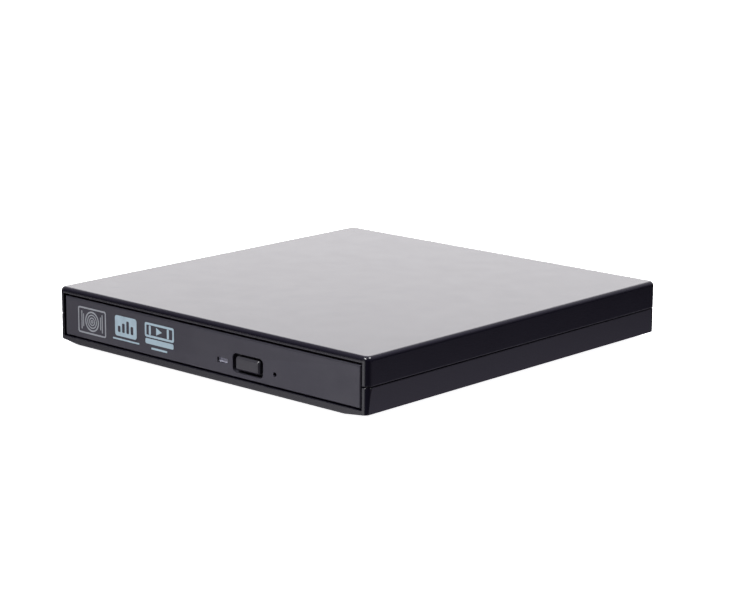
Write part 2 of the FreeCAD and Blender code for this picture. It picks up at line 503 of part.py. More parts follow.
for pole in range(SIZES["poles"]):
    angle = "%d * 360 / poles" % pole
    arm = block("pole_%d" % pole, ("2.8", "stator_radius - 1"), ("-0.8", "0.8"), ("8.2", "9.8"))
    shoe = block("shoe_%d" % pole, ("stator_radius - 1.2", "stator_radius"), ("-2.6", "2.6"), ("8.2", "9.8"))
    coil = block("coil_%d" % pole, ("6.2", "10.2"), ("-1.5", "1.5"), ("7.8", "10.4"))
    limb = fuse("limb_%d" % pole, arm, shoe, coil)
    arms.append(place(limb, "0", "0", angle))
stator_ring = rod("stator_ring", "z", ("0", "0"), ("7.6", "10.2"), "5.4")
node(on_traverse(cut("stator", fuse("stator_solid", stator_ring, *arms),
                     rod("stator_bore", "z", ("0", "0"), ("7", "11"), "sleeve_radius"))), "stator")
sled_motor = rounded("sled_motor_round",
                     block("sled_motor_block", ("2", "13"), ("-21.6", "-16.1"), ("6.05", "10.2")),
                     "top_round", runs_along("x"))
node(on_traverse(sled_motor), "sled_motor")


def cover_outline(name, half, nose, trim, z):
    """Outline shared by the traverse cover and its recess in the tray."""
    plan = fuse(name + "_plan", block(name + "_bar", ("0", "62"), ("-(%s)" % half, half), z),
                rod(name + "_disc", "z", ("0", "0"), z, nose))
    return common(name, plan, rod(name + "_limit", "z", ("0", "0"), z, trim))


cover = cover_outline("cover_blank", "12.9", "17.9", "59.9", ("11.1", "11.5"))
node(on_traverse(cut("traverse_cover", cover,
                     rod("cover_hub_hole", "z", ("0", "0"), ("10", "13"), "rotor_radius + 0.5"),
                     block("cover_slot", ("slot_start", "slot_end"), ("-slot_half", "slot_half"), ("10", "13")))),
     "traverse_cover")

# ---- tray moulding ----------------------------------------------------------------------------------
tray_outer = block("tray_outer", ("-tray_half", "tray_half"), ("tray_front", "tray_rear"), ("z_skirt", "z_rim"))
tray_corner = block("tray_corner", ("corner_x", "tray_half + 1"), ("corner_y", "tray_rear + 1"), ("5", "15"))
tray_under = cut("tray_under",
                 block("under_box", ("-tray_half + skirt", "tray_half - skirt"),
                       ("tray_front + skirt", "tray_rear - skirt"), ("z_skirt - 1", "z_tray_floor")),
                 block("under_corner", ("corner_x - skirt", "tray_half"), ("corner_y - skirt", "tray_rear"),
                       ("4", "12")))
tray_recess = rod("tray_recess", "z", ("0", "disc_y"), ("z_recess", "z_rim + 1"), "recess_radius")
tray_hollow = cut("tray_hollow", tray_outer, tray_corner, tray_under, tray_recess)
TRAY_COLUMNS = [("-52", "-60"), ("-50", "-22"), ("46", "38"), ("46", "-20")]
PCB_COLUMNS = [("-45", "-57"), ("22.5", "-55"), ("-45", "-38"), ("17", "-39.5")]
tray_adds = at_each(lambda i, x, y: rod("tray_column_%d" % i, "z", (x, y), ("z_skirt", "z_recess - 0.5"), "2"),
                    TRAY_COLUMNS)
tray_adds += at_each(lambda i, x, y: rod("pcb_column_%d" % i, "z", (x, y), ("z_pcb_top", "z_recess - 0.5"), "1.8"),
                     PCB_COLUMNS)
tray_adds += [block("tongue_%s" % s, side_screw_span(s, "tray_half - 0.5", "tongue_out"),
                    ("tongue_front", "tongue_rear"), ("z_tongue_low", "z_tongue_high")) for s in ("-1", "1")]
tray_adds += [
    rod("pivot_boss", "z", ("pivot_x", "pivot_y"), ("z_latch_top + 0.2", "z_recess - 0.5"), "2.2"),
    block("ejector_wall", ("ejector_x - 3", "ejector_x + 3"), ("20", "spring_front"),
          ("6.2", "z_recess - 0.5")),
    block("ejector_side_left", ("ejector_x - 3", "ejector_x - 2.2"), ("20", "tray_rear - 1"),
          ("6.2", "z_recess - 0.5")),
    block("ejector_side_right", ("ejector_x + 2.2", "ejector_x + 3"), ("20", "tray_rear - 1"),
          ("6.2", "z_recess - 0.5")),
]
tray_adds += [on_traverse(rod("damper_post_%d" % i, "z", spot, ("7.5", "z_recess - 0.5"), "2.0"))
              for i, spot in enumerate(DAMPERS)]
tray_cuts = [
    block("lane_notch", ("lane_left", "lane_right"), ("40", "tray_rear + 1"), ("z_skirt - 1", "z_lane")),
    rod("ejector_hole", "y", ("ejector_x", "z_ejector"), ("54", "tray_rear + 1"), "ejector_radius + 0.1"),
    block("button_hole", ("button_x - 1.6", "button_x + 1.6"), ("tray_front - 1", "tray_front + 2"),
          ("z_button - 1.6", "z_button + 1.6")),
    block("lamp_hole", ("window_x - window_wide / 2 - 0.1", "window_x + window_wide / 2 + 0.1"),
          ("tray_front - 1", "tray_front + 2"), ("z_window - window_tall / 2 - 0.1",
                                                 "z_window + window_tall / 2 + 0.1")),
    rod("tray_release_hole", "y", ("release_x", "z_release"), ("tray_front - 1", "tray_front + 2"), "0.9"),
    on_traverse(cover_outline("recess_blank", "13", "18", "60", ("11.0", "12"))),
    on_traverse(common("floor_window",
                       fuse("floor_window_plan",
                            block("floor_bar", ("10", "62"), ("-9.5", "9.5"), ("10", "12")),
                            rod("floor_disc", "z", ("0", "0"), ("10", "12"), "rotor_radius + 0.6")),
                       rod("floor_limit", "z", ("0", "0"), ("10", "12"), "59.4"))),
    rod("pivot_bore", "z", ("pivot_x", "pivot_y"), ("7", "9.8"), "pin_radius"),
]
tray_cuts += at_each(lambda i, x, y: rod("column_pilot_%d" % i, "z", (x, y), ("5", "8.7"), "0.65"), TRAY_COLUMNS)
tray_cuts += at_each(lambda i, x, y: rod("pcb_pilot_%d" % i, "z", (x, y), ("7", "9.6"), "0.65"), PCB_COLUMNS)
tray_cuts += [on_traverse(rod("damper_pilot_%d" % i, "z", spot, ("7", "9.6"), "0.95"))
              for i, spot in enumerate(DAMPERS)]
node(cut("tray", fuse("tray_body", tray_hollow, *tray_adds), *tray_cuts), "tray")

under_blank = block("under_blank", ("-tray_half + 0.3", "under_right"), ("-64.8", "54.5"), ("z_under", "z_skirt"))
under_cuts = [block("flex_window", ("flex_left - 1", "flex_right + 1"), ("-34", "-29.5"), ("5", "6.5")),
              block("under_notch", ("corner_x - 3", "under_right + 1"), ("corner_y - 3", "56"), ("5", "6.5"))]
under_cuts += at_each(lambda i, x, y: rod("under_hole_%d" % i, "z", (x, y), ("5", "6.5"), "0.65"), TRAY_COLUMNS)
node(cut("underside_cover", under_blank, *under_cuts), "underside_cover")

tray_screws = at_each(lambda i, x, y: screw("under_screw_%d" % i, x, y, ("5.1", "z_under"),
                                            ("z_under - 0.1", "8.1"), "1.2", "0.6"), TRAY_COLUMNS)
tray_screws += at_each(lambda i, x, y: screw("pcb_screw_%d" % i, x, y, ("z_pcb - 0.4", "z_pcb"),
                                             ("z_pcb - 0.1", "9.2"), "1.2", "0.6"), PCB_COLUMNS)
node(group("tray_screws", *tray_screws), "tray_screws")

pcb_blank = block("pcb_blank", ("pcb_left", "pcb_right"), ("pcb_front", "pcb_rear"), ("z_pcb", "z_pcb_top"))
pcb_cuts = [block("pcb_step", ("pcb_step_x", "pcb_right + 1"), ("pcb_front - 1", "pcb_step_y"), ("6", "8"))]
pcb_cuts += at_each(lambda i, x, y: rod("pcb_hole_%d" % i, "z", (x, y), ("6", "8"), "0.65"), PCB_COLUMNS)
node(cut("tray_board", pcb_blank, *pcb_cuts), "tray_board")
TRAY_CHIPS = [("-26", "-12", "-56", "-42", "1.4"), ("-3", "6", "-52", "-43", "1.2"),
              ("-40", "-32", "-50", "-45", "1.0"), ("23", "45", "-38", "-34.4", "1.8"),
              ("6.2", "8.2", "-64.5", "-61.7", "1.3"), ("-38", "-30", "-61", "-57", "1.6")]
node(group("tray_chips", *at_each(
    lambda i, x0, x1, y0, y1, tall: block("tray_chip_%d" % i, (x0, x1), (y0, y1),
                                          ("z_pcb_top", "z_pcb_top + " + tall)), TRAY_CHIPS)), "tray_chips")
node(fuse("eject_switch",
          block("switch_body", ("button_x - 2.6", "button_x + 2.6"), ("pcb_front", "-59.9"),
                ("z_pcb_top", "9.8")),
          rod("switch_key", "y", ("button_x", "8.4"), ("-63.3", "pcb_front + 0.1"), "0.9")), "eject_switch")

# ---- bezel, light window and eject button -----------------------------------------------------------
bezel_block = rounded("bezel_soft", block("bezel_block", ("-bezel_half", "bezel_half"),
                                          ("bezel_face", "tray_front"), ("z_bezel", "z_bezel_top")),
                      "bezel_round", at_level("y", SIZES["bezel_face"]))
bezel_hollow = block("bezel_hollow", ("-bezel_half + bezel_wall", "bezel_half - bezel_wall"),
                     ("bezel_face + bezel_plate", "tray_front + 1"), ("z_bezel + bezel_wall",
                                                                      "z_bezel_top - bezel_wall"))
hole_block = block("hole_block", ("hole_x - hole_wide / 2", "hole_x + hole_wide / 2"),
                   ("bezel_face - 1", "bezel_face + bezel_plate + 1"),
                   ("z_hole - hole_tall / 2", "z_hole + hole_tall / 2"))
bezel_tools = [
    rounded("hole_soft", hole_block, "hole_round", runs_along("y")),
    block("window_hole", ("window_x - window_wide / 2", "window_x + window_wide / 2"),
          ("bezel_face - 1", "bezel_face + 3"), ("z_window - window_tall / 2", "z_window + window_tall / 2")),
    rod("release_hole", "y", ("release_x", "z_release"), ("bezel_face - 1", "bezel_face + 3"), "release_radius"),
]
bezel_posts = [block("bezel_web_%d" % i, ("%s - 0.6" % x, "%s + 0.6" % x), ("bezel_face + 1", "tray_front"),
                     ("z_bezel + 1", "z_bezel_top - 1")) for i, x in enumerate(("-40", "-10", "40"))]
node(cut("front_bezel", fuse("bezel_ribbed", cut("bezel_tub", bezel_block, bezel_hollow), *bezel_posts),
         *bezel_tools), "front_bezel")
node(block("led_window", ("window_x - window_wide / 2", "window_x + window_wide / 2"),
           ("bezel_face + window_recess", "-64.8"),
           ("z_window - window_tall / 2", "z_window + window_tall / 2")), "led_window")

cap_block = rounded("cap_soft", block("cap_block", ("button_x - button_wide / 2", "button_x + button_wide / 2"),
                                      (FRONT, "-68.1"), ("z_button - button_tall / 2",
                                                         "z_button + button_tall / 2")),
                    "button_round", runs_along("y"))
cap = bevelled("cap_bevel", cap_block, "button_bevel", at_level("y", -SIZES["body_depth"] / 2))
node(fuse("eject_button", cap,
          block("button_flange", ("hole_x - 6.8", "hole_x + 6.8"), ("-68.15", "-67.6"),
                ("z_hole - 2.75", "z_hole + 3.3")),
          block("button_stem", ("button_x - 1.3", "button_x + 1.3"), ("-67.7", "-63.95"),
                ("z_button - 1.3", "z_button + 1.3"))), "eject_button")

# ---- spindle ----------------------------------------------------------------------------------------
def on_spindle(obj):
    return place(obj, "0", "disc_y", "0")


rotor_cup = cut("rotor_cup", rod("rotor_out", "z", ("0", "0"), ("z_rotor", "z_rotor_top"), "rotor_radius"),
                rod("rotor_in", "z", ("0", "0"), ("z_rotor - 1", "z_rotor_top - rotor_sheet"), "12.4"),
                rod("rotor_shaft_hole", "z", ("0", "0"), ("7", "13"), "shaft_radius"))
node(on_spindle(rotor_cup), "rotor")
node(on_spindle(rod("shaft", "z", ("0", "0"), ("6.55", "13"), "shaft_radius")), "spindle_shaft")
node(on_spindle(cut("turntable_ring",
                    rod("ring_outer", "z", ("0", "0"), ("z_rotor_top", "z_ring_top"), "ring_out"),
                    rod("ring_inner", "z", ("0", "0"), ("z_rotor_top - 1", "z_ring_top + 1"), "ring_in"))),
     "turntable_ring")
hub_solid = bevelled("hub_soft", rod("hub_drum", "z", ("0", "0"), ("z_rotor_top", "z_hub_top"), "hub_radius"),
                     "hub_bevel", at_level("z", SIZES["z_hub_top"]))
hub_hollow = cut("hub_hollow",
                 rod("dish_disc", "z", ("0", "0"), ("z_hub_top - dish_depth", "z_hub_top + 1"), "hub_dish"),
                 rod("dish_boss", "z", ("0", "0"), ("z_hub_top - 1", "z_hub_top - 0.1"), "hub_boss"))
CLAW_ANGLES = ["90", "210", "330"]
hub_slots = []
for i, angle in enumerate(CLAW_ANGLES):
    hub_slots.append(place(block("claw_slot_%d" % i, ("3.2", "9"),
                                 ("-claw_wide / 2 - claw_gap", "claw_wide / 2 + claw_gap"),
                                 ("z_claw - claw_gap", "z_claw_top + claw_gap")), "0", "0", angle))
    hub_slots.append(place(block("claw_window_%d" % i, ("window_in", "window_out"), ("-1.1", "1.1"),
                                 ("z_claw_top", "z_hub_top + 1")), "0", "0", angle))
node(on_spindle(cut("hub", hub_solid, rod("hub_bore", "z", ("0", "0"), ("11", "13"), "shaft_radius"),
                    hub_hollow, *hub_slots)), "hub")
for i, angle in enumerate(CLAW_ANGLES, start=1):
    claw = block("claw_block_%d" % i, ("claw_root", "claw_reach"), ("-claw_wide / 2", "claw_wide / 2"),
                 ("z_claw", "z_claw_top"))
    tip = block("claw_tip_cut_%d" % i, ("7", "9"), ("-3", "3"), ("z_claw_top - 0.35", "z_claw_top + 1"))
    node(place(cut("claw_%d" % i, claw, tip), "0", "disc_y", angle), "claw_%d" % i)

# ---- sled, lens and lead screw ------------------------------------------------------------------------
SLED_V = ("-11.4", "11.4")
sled_solid = fuse("sled_solid",
                  block("sled_block", ("lens_u - 7", "lens_u + 7"), SLED_V, ("6.1", "10")),
                  block("sled_bearing", ("lens_u - 6", "lens_u + 6"), ("11", "rod_v + 1.9"), ("7.1", "10.1")),
                  block("sled_fork", ("lens_u - 2.5", "lens_u + 2.5"), ("-rod_v - 1.8", "-11"), ("7.1", "9.7")),
                  block("sled_arm", ("lens_u - 6.5", "lens_u - 3.5"), ("-19.6", "-11"), ("9.7", "10.1")),
                  block("sled_tooth", ("lens_u - 6.5", "lens_u - 3.5"), ("-19.6", "-17.6"), ("9.46", "9.8")))
sled_cuts = [
    block("lens_well", ("lens_u - 4", "lens_u + 4"), ("-6", "9"), ("8.5", "11")),
    rod("sled_bore", "x", ("rod_v", "z_rod"), ("lens_u - 8", "lens_u + 8"), "rod_radius + 0.05"),
    block("fork_slot", ("lens_u - 3", "lens_u + 3"), ("-rod_v - 2", "-12.7"), ("z_rod - 1.06", "z_rod + 1.06")),
]
node(on_traverse(cut("sled_body", sled_solid, *sled_cuts)), "sled_body")
node(on_traverse(cut("sled_cover", block("sled_cover_blank", ("lens_u - 6.5", "lens_u + 6.5"), ("-9", "10.5"),
                                         ("10", "10.3")),
                     block("sled_cover_hole", ("lens_u - 3.8", "lens_u + 3.8"), ("-5.8", "8"), ("9", "11")))),
     "sled_cover")
node(on_traverse(fuse("lens_holder",
                      block("holder_block", ("lens_u - 3.2", "lens_u + 3.2"), ("-5.2", "4"), ("9.2", "10.7")),
                      rod("holder_rim", "z", ("lens_u", "0"), ("10.6", "11"), "2.9"))), "lens_holder")
node(on_traverse(rod("lens_disc", "z", ("lens_u", "0"), ("11", "11.4"), "2.2")), "objective_lens")
node(on_traverse(fuse("lead_screw",
                      rod("screw_thread", "x", ("screw_v", "z_screw"), ("screw_start", "screw_end"),
                          "screw_radius"),
                      rod("screw_journals", "x", ("screw_v", "z_screw"), ("13.2", "55.6"), "0.6"))),
     "lead_screw")
node(on_traverse(fuse("pickup_flex",
                      block("pickup_strip", ("-33", "lens_u + 2"), ("1", "9"), ("5.93", "6.02")),
                      block("pickup_riser", ("lens_u + 1.9", "lens_u + 2"), ("1", "9"), ("5.93", "6.1")))),
     "pickup_flex")

# ---- latch, solenoid and ejector ------------------------------------------------------------------------
# The lever is drawn about its pivot in the engaged pose, then turned to the released pose, its rest.
lever = fuse("lever_body",
             rod("lever_eye", "z", ("0", "0"), ("z_latch", "z_latch_top"), "2.2"),
             block("lever_arm", ("1.2", "3"), ("0", "13.3"), ("z_latch", "z_latch_top")),
             block("lever_jaw", ("-0.6", "3"), ("12", "13.3"), ("z_latch", "z_latch_top")),
             block("lever_tail", ("-21.7", "0"), ("-1", "0.4"), ("z_latch", "z_latch_top")),
             rod("lever_pin", "z", ("plunger_x - pivot_x", "-0.3"), ("z_latch_top - 0.2", "9.6"), "0.6"))
lever_node = cut("latch_lever", lever, rod("lever_bore", "z", ("0", "0"), ("5", "9"), "pin_radius + 0.05"))
node(place(lever_node, "pivot_x", "pivot_y", "-latch_swing"), "latch_lever")
node(fuse("latch_pivot",
          rod("pivot_shank", "z", ("pivot_x", "pivot_y"), ("6.3", "9.7"), "pin_radius"),
          rod("pivot_head", "z", ("pivot_x", "pivot_y"), ("6.0", "6.5"), "1.8")), "latch_pivot")
coil_body = block("coil_body", ("plunger_x - 4", "plunger_x + 4"), ("-57", "-47.5"), ("6.8", "10.3"))
node(cut("solenoid", coil_body,
         rod("coil_bore", "y", ("plunger_x", "z_plunger"), ("-58", "-48.4"), "plunger_radius + 0.05")), "solenoid")
plunger_tab = cut("plunger_tab",
                  block("tab_plate", ("plunger_x - 1.6", "plunger_x + 1.6"),
                        ("-64.2 + plunger_pull", "-60.3 + plunger_pull"), ("8.2", "9.2")),
                  block("tab_slot", ("plunger_x - 0.9", "plunger_x + 0.9"),
                        ("-63.3 + plunger_pull", "-61.9 + plunger_pull"), ("8", "10")))
node(fuse("solenoid_plunger", plunger_tab,
          rod("plunger_rod", "y", ("plunger_x", "z_plunger"), ("-60.6 + plunger_pull", "-50.8 + plunger_pull"),
              "plunger_radius")), "solenoid_plunger")
node(fuse("ejector_plunger",
          rod("ejector_rod", "y", ("ejector_x", "z_ejector"), ("collar_front", "ejector_tip"), "ejector_radius"),
          rod("ejector_collar", "y", ("ejector_x", "z_ejector"), ("collar_front", "collar_front + 1"), "2")),
     "ejector_plunger")


def coil_spring(label):
    """Compression spring along +Y between the tray's wall and the plunger's collar."""
    wire = sheet.get("spring_wire")
    start = sheet.get("spring_front") + wire
    length = sheet.get("collar_front") - wire - start
    radius = sheet.get("spring_radius")
    path = Part.makeHelix(length / sheet.get("spring_turns"), length, radius)
    profile = Part.Wire(Part.makeCircle(wire, FreeCAD.Vector(radius, 0, 0), FreeCAD.Vector(0, 1, 0)))
    spring = doc.addObject("Part::Feature", label)
    spring.Shape = Part.Wire(path.Edges).makePipeShell([profile], True, True)
    spring.Placement = FreeCAD.Placement(
        FreeCAD.Vector(sheet.get("ejector_x"), start, sheet.get("z_ejector")), AXIS_TURN["y"])
    return spring


node(coil_spring("ejector_spring"), "ejector_spring")

# ---- check and write ------------------------------------------------------------------------------------
doc.recompute()
faults = [obj.Label for obj in doc.Objects if {"Invalid", "Error"} & set(obj.State)]
for label, obj in NODES:
    if obj.Shape.isNull() or not obj.Shape.isValid() or not obj.Shape.Solids:
        faults.append(label + " has a bad shape")
if faults:
    raise RuntimeError("failed objects: " + ", ".join(faults))
os.makedirs("parts", exist_ok=True)
for label, obj in NODES:
    obj.Shape.exportStep(os.path.join("parts", label + ".step"))
    print(label, len(obj.Shape.Solids), "solids, volume", round(obj.Shape.Volume, 2))
print(len(NODES), "nodes")
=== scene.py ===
"""Looks of the external optical drive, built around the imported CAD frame. Metres, +Z up."""
import math

import bmesh
import bpy
from mathutils import Matrix, Vector


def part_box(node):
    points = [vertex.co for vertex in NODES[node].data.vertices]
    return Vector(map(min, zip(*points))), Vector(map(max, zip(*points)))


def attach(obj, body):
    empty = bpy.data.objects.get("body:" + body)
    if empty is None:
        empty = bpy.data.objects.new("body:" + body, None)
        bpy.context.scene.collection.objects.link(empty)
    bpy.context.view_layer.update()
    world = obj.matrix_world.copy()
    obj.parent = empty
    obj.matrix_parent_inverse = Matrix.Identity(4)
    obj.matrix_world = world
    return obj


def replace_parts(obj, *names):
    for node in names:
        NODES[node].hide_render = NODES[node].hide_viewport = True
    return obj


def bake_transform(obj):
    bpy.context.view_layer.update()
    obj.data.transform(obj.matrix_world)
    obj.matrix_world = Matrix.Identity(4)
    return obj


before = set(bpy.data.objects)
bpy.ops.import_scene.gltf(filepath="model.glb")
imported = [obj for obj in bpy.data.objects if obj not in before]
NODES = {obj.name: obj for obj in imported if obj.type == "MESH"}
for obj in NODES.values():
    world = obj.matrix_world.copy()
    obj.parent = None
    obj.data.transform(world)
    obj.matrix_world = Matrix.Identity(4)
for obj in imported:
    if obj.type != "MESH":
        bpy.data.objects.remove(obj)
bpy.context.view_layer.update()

MM = 0.001
SHARP_ANGLE = 35

# Camera, as fitted to the object's corners.
CAMERA_AT = (0.46585, -0.51198, 0.17242)
CAMERA_YAW = 43.54
CAMERA_PITCH = 12.228
CAMERA_ROLL = 0.089
CAMERA_LENS = 104.12
CAMERA_SHIFT = (0.0858, -0.0351)

# Places in millimetres and degrees. The traverse is turned: u runs along the pickup's travel, v across it.
# A grip is where a piece that bends starts and stops following its two bodies.
TRAVERSE_Y, TRAVERSE_TURN = -4.5, 132.0
LENS_U, LENS_Z = 23.5, 11.0
SCREW_V, SCREW_Z = -18.6, 8.2
SCREW_U, SCREW_PITCH = (14.2, 54.6), 3.0
PICKUP_FLEX_V, PICKUP_FLEX_Z = (1, 9), (5.975, 6.08)
MAIN_FLEX_X, MAIN_GRIP_Z = (24, 44), (4.95, 5.28)
COIL_X, COIL_Z = 20, 8.2
COIL_Y, COIL_GRIP_Y = (21.2, 34.0), (21.8, 33.4)
FOOT_X, FOOT_Y = 50, 57.5
USB_X = -20

# Surroundings as (height or heading, brightness) points, from straight down at -1 to straight up at 1.
BACKDROP_SIDE = (-0.67, 0.74)
BACKDROP_ACROSS = ((-1.0, 0.0), (0.30, 0.0), (0.70, 1.0), (1.0, 1.0))
BACKDROP_UP = ((-1.0, 0.0), (0.0, 0.0), (0.06, 2.02), (0.40, 1.85), (0.62, 0.2), (1.0, 0.0))
FRONT_SIDE = (-0.67, -0.74)
TABLE_ACROSS = ((-1.0, 0.0), (0.74, 0.0), (0.92, 1.0), (1.0, 1.0))
TABLE_DOWN = ((-1.0, 2.2), (-0.34, 2.2), (-0.24, 0.1), (-0.1, 0.0), (1.0, 0.0))
CORNER_SIDE = (0.67, -0.74)
CORNER_ACROSS = ((-1.0, 1.0), (0.35, 1.0), (0.75, 0.25), (1.0, 0.25))
SURROUNDINGS = ((-1.0, 0.70), (-0.34, 0.65), (-0.25, 0.02), (0.0, 0.012), (0.1, 0.12), (1.0, 0.35))
LIT_COLOR = (1.0, 0.985, 0.99)
AROUND_COLOR = (0.95, 0.89, 1.12)
FLOOR_HALF = 6.0
FLOOR_GLOW = 0.97
# Each softbox: name, place, target, diameter, power.
SOFTBOXES = (
    ("table_bounce", (0.035, -0.155, 0.003), (0.066, -0.07, 0.012), 0.07, 0.012),
    ("front_softbox", (-0.10, -0.85, 1.15), (0, 0, 0), 0.26, 16.0),
    ("side_softbox", (0.50, 0.37, 1.36), (0, 0, 0), 0.26, 18.0),
)

# Colours are linear RGB.
SHELL = (0.0048, 0.0040, 0.0100)
BEZEL = (0.0275, 0.0262, 0.0365)
PRINT_BLUE = (0.44, 0.58, 0.64)
PRINT_GREY = (0.36, 0.38, 0.40)
POLYESTER = (0.62, 0.60, 0.55)
CONDUCTOR = (0.30, 0.24, 0.17)
HOLE_PLATING = (0.42, 0.40, 0.30)


# ---------------------------------------------------------------- materials
class Surface:
    """A procedural material: one Principled shader with its detail driven by noise in object space."""

    def __init__(self, name, color, roughness, metallic=0.0):
        self.material = bpy.data.materials.new(name)
        self.material.use_nodes = True
        self.tree = self.material.node_tree
        self.shader = self.tree.nodes["Principled BSDF"]
        self.shader.inputs["Base Color"].default_value = (*color, 1.0)
        self.shader.inputs["Metallic"].default_value = metallic
        self.shader.inputs["Roughness"].default_value = roughness
        self.color = color
        self.roughness = roughness
        self.position = self.add("ShaderNodeTexCoord").outputs["Object"]
        self.normal = None

    def add(self, kind, **settings):
        node = self.tree.nodes.new(kind)
        for key, value in settings.items():
            setattr(node, key, value)
        return node

    def link(self, output, target):
        self.tree.links.new(output, target)

    def stretched(self, scale):
        """Object position scaled by axis, to draw noise out into lines."""
        mapping = self.add("ShaderNodeMapping")
        mapping.inputs["Scale"].default_value = scale
        self.link(self.position, mapping.inputs["Vector"])
        return mapping.outputs["Vector"]

    def turned(self, angle):
        """Object position turned about Z by an angle in radians."""
        mapping = self.add("ShaderNodeMapping")
        mapping.inputs["Rotation"].default_value = (0.0, 0.0, angle)
        self.link(self.position, mapping.inputs["Vector"])
        return mapping.outputs["Vector"]

    def noise(self, scale, detail=3.0, stretch=None):
        node = self.add("ShaderNodeTexNoise")
        node.inputs["Scale"].default_value = scale
        node.inputs["Detail"].default_value = detail
        self.link(self.stretched(stretch) if stretch else self.position, node.inputs["Vector"])
        return node.outputs["Fac"]

    def remap(self, value, low, high, start=0.3, end=0.7):
        node = self.add("ShaderNodeMapRange")
        for key, number in (("From Min", start), ("From Max", end), ("To Min", low), ("To Max", high)):
            node.inputs[key].default_value = number
        self.link(value, node.inputs["Value"])
        return node.outputs["Result"]

    def blend(self, factor, first, second):
        """Mix two colours, each a constant or an output."""
        node = self.add("ShaderNodeMix", data_type="RGBA")
        self.link(factor, node.inputs["Factor"])
        for socket, value in (("A", first), ("B", second)):
            target = [s for s in node.inputs if s.name == socket and s.type == "RGBA"][0]
            if isinstance(value, tuple):
                target.default_value = (*value, 1.0)
            else:
                self.link(value, target)
        return [s for s in node.outputs if s.type == "RGBA"][0]

    def paint(self, output):
        self.link(output, self.shader.inputs["Base Color"])

    def mottle(self, scale, amount, stretch=None):
        """Slow colour variation around the base colour."""
        darker = tuple(c * (1 - amount) for c in self.color)
        lighter = tuple(c * (1 + amount) for c in self.color)
        factor = self.remap(self.noise(scale, 4.0, stretch), 0.0, 1.0)
        return self.blend(factor, darker, lighter)

    def worn_edges(self, color, worn, strength):
        """Lighten convex edges a little."""
        edge = self.add("ShaderNodeNewGeometry").outputs["Pointiness"]
        return self.blend(self.remap(edge, 0.0, strength, 0.52, 0.62), color, worn)

    def rough(self, scale, spread, stretch=None):
        low = max(0.02, self.roughness - spread)
        value = self.remap(self.noise(scale, 4.0, stretch), low, min(1.0, self.roughness + spread))
        self.link(value, self.shader.inputs["Roughness"])

    def round_edges(self, radius):
        node = self.add("ShaderNodeBevel", samples=4)
        node.inputs["Radius"].default_value = radius
        self.normal = node.outputs["Normal"]

    def bump(self, height, depth, strength=1.0):
        node = self.add("ShaderNodeBump")
        node.inputs["Distance"].default_value = depth
        node.inputs["Strength"].default_value = strength
        self.link(height, node.inputs["Height"])
        if self.normal:
            self.link(self.normal, node.inputs["Normal"])
        self.normal = node.outputs["Normal"]

    def done(self, **sockets):
        if self.normal:
            self.link(self.normal, self.shader.inputs["Normal"])
        for key, value in sockets.items():
            self.shader.inputs[key.replace("_", " ")].default_value = value
        return self.material


def moulded(name, color, roughness, grain=5200.0, depth=6e-6, spread=0.05, edge=1.2e-4, worn=1.8, flow=0.06,
            **sockets):
    """Injection-moulded plastic: spark-eroded grain, faint flow marks, rubbed edges."""
    surface = Surface(name, color, roughness)
    base = surface.mottle(28.0, flow)
    surface.paint(surface.worn_edges(base, tuple(min(1.0, c * worn) for c in color), 0.35))
    surface.rough(120.0, spread)
    surface.round_edges(edge)
    surface.bump(surface.noise(grain, 2.0), depth)
    return surface.done(**sockets)


def metal(name, color, roughness, brush=(1.0, 40.0, 1.0), scale=220.0, depth=6e-7, spread=0.05):
    """Rolled or ground metal: directional lines, mottled plating, bright edges."""
    surface = Surface(name, color, roughness, metallic=1.0)
    base = surface.mottle(90.0, 0.07)
    surface.paint(surface.worn_edges(base, tuple(min(1.0, c * 1.25) for c in color), 0.6))
    surface.rough(scale, spread, brush)
    surface.round_edges(8e-5)
    surface.bump(surface.noise(scale, 3.0, brush), depth)
    return surface.done()


def rubber(name, color):
    """Matt elastomer with a coarse, soft grain."""
    surface = Surface(name, color, 0.78)
    surface.paint(surface.mottle(60.0, 0.2))
    surface.rough(400.0, 0.08)
    surface.round_edges(1.5e-4)
    surface.bump(surface.noise(2600.0, 4.0), 1.5e-5)
    return surface.done()


def circuit(name, color):
    """Solder mask over copper tracks that run along the board, with short crossings and plated holes."""
    surface = Surface(name, color, 0.32)

    def tracks(scale, width, turn):
        node = surface.add("ShaderNodeTexBrick", offset=0.37, squash=1.7, squash_frequency=3)
        for key, number in (("Scale", scale), ("Mortar Size", width), ("Mortar Smooth", 0.2),
                            ("Brick Width", 3.1), ("Row Height", 0.22)):
            node.inputs[key].default_value = number
        surface.link(surface.turned(turn), node.inputs["Vector"])
        return node.outputs["Fac"]

    copper = surface.blend(surface.remap(surface.noise(45.0), 0.0, 1.0, 0.48, 0.52),
                           tracks(330.0, 0.045, 0.0), tracks(260.0, 0.05, math.pi / 2))
    dots = surface.add("ShaderNodeTexVoronoi")
    dots.inputs["Scale"].default_value = 330.0
    surface.link(surface.position, dots.inputs["Vector"])
    holes = surface.remap(dots.outputs["Distance"], 1.0, 0.0, 0.10, 0.13)
    mask = surface.blend(copper, surface.mottle(200.0, 0.10), tuple(c * 2.0 + 0.01 for c in color))
    surface.paint(surface.blend(holes, mask, HOLE_PLATING))
    surface.rough(900.0, 0.06)
    surface.bump(copper, 1.2e-5)
    return surface.done()


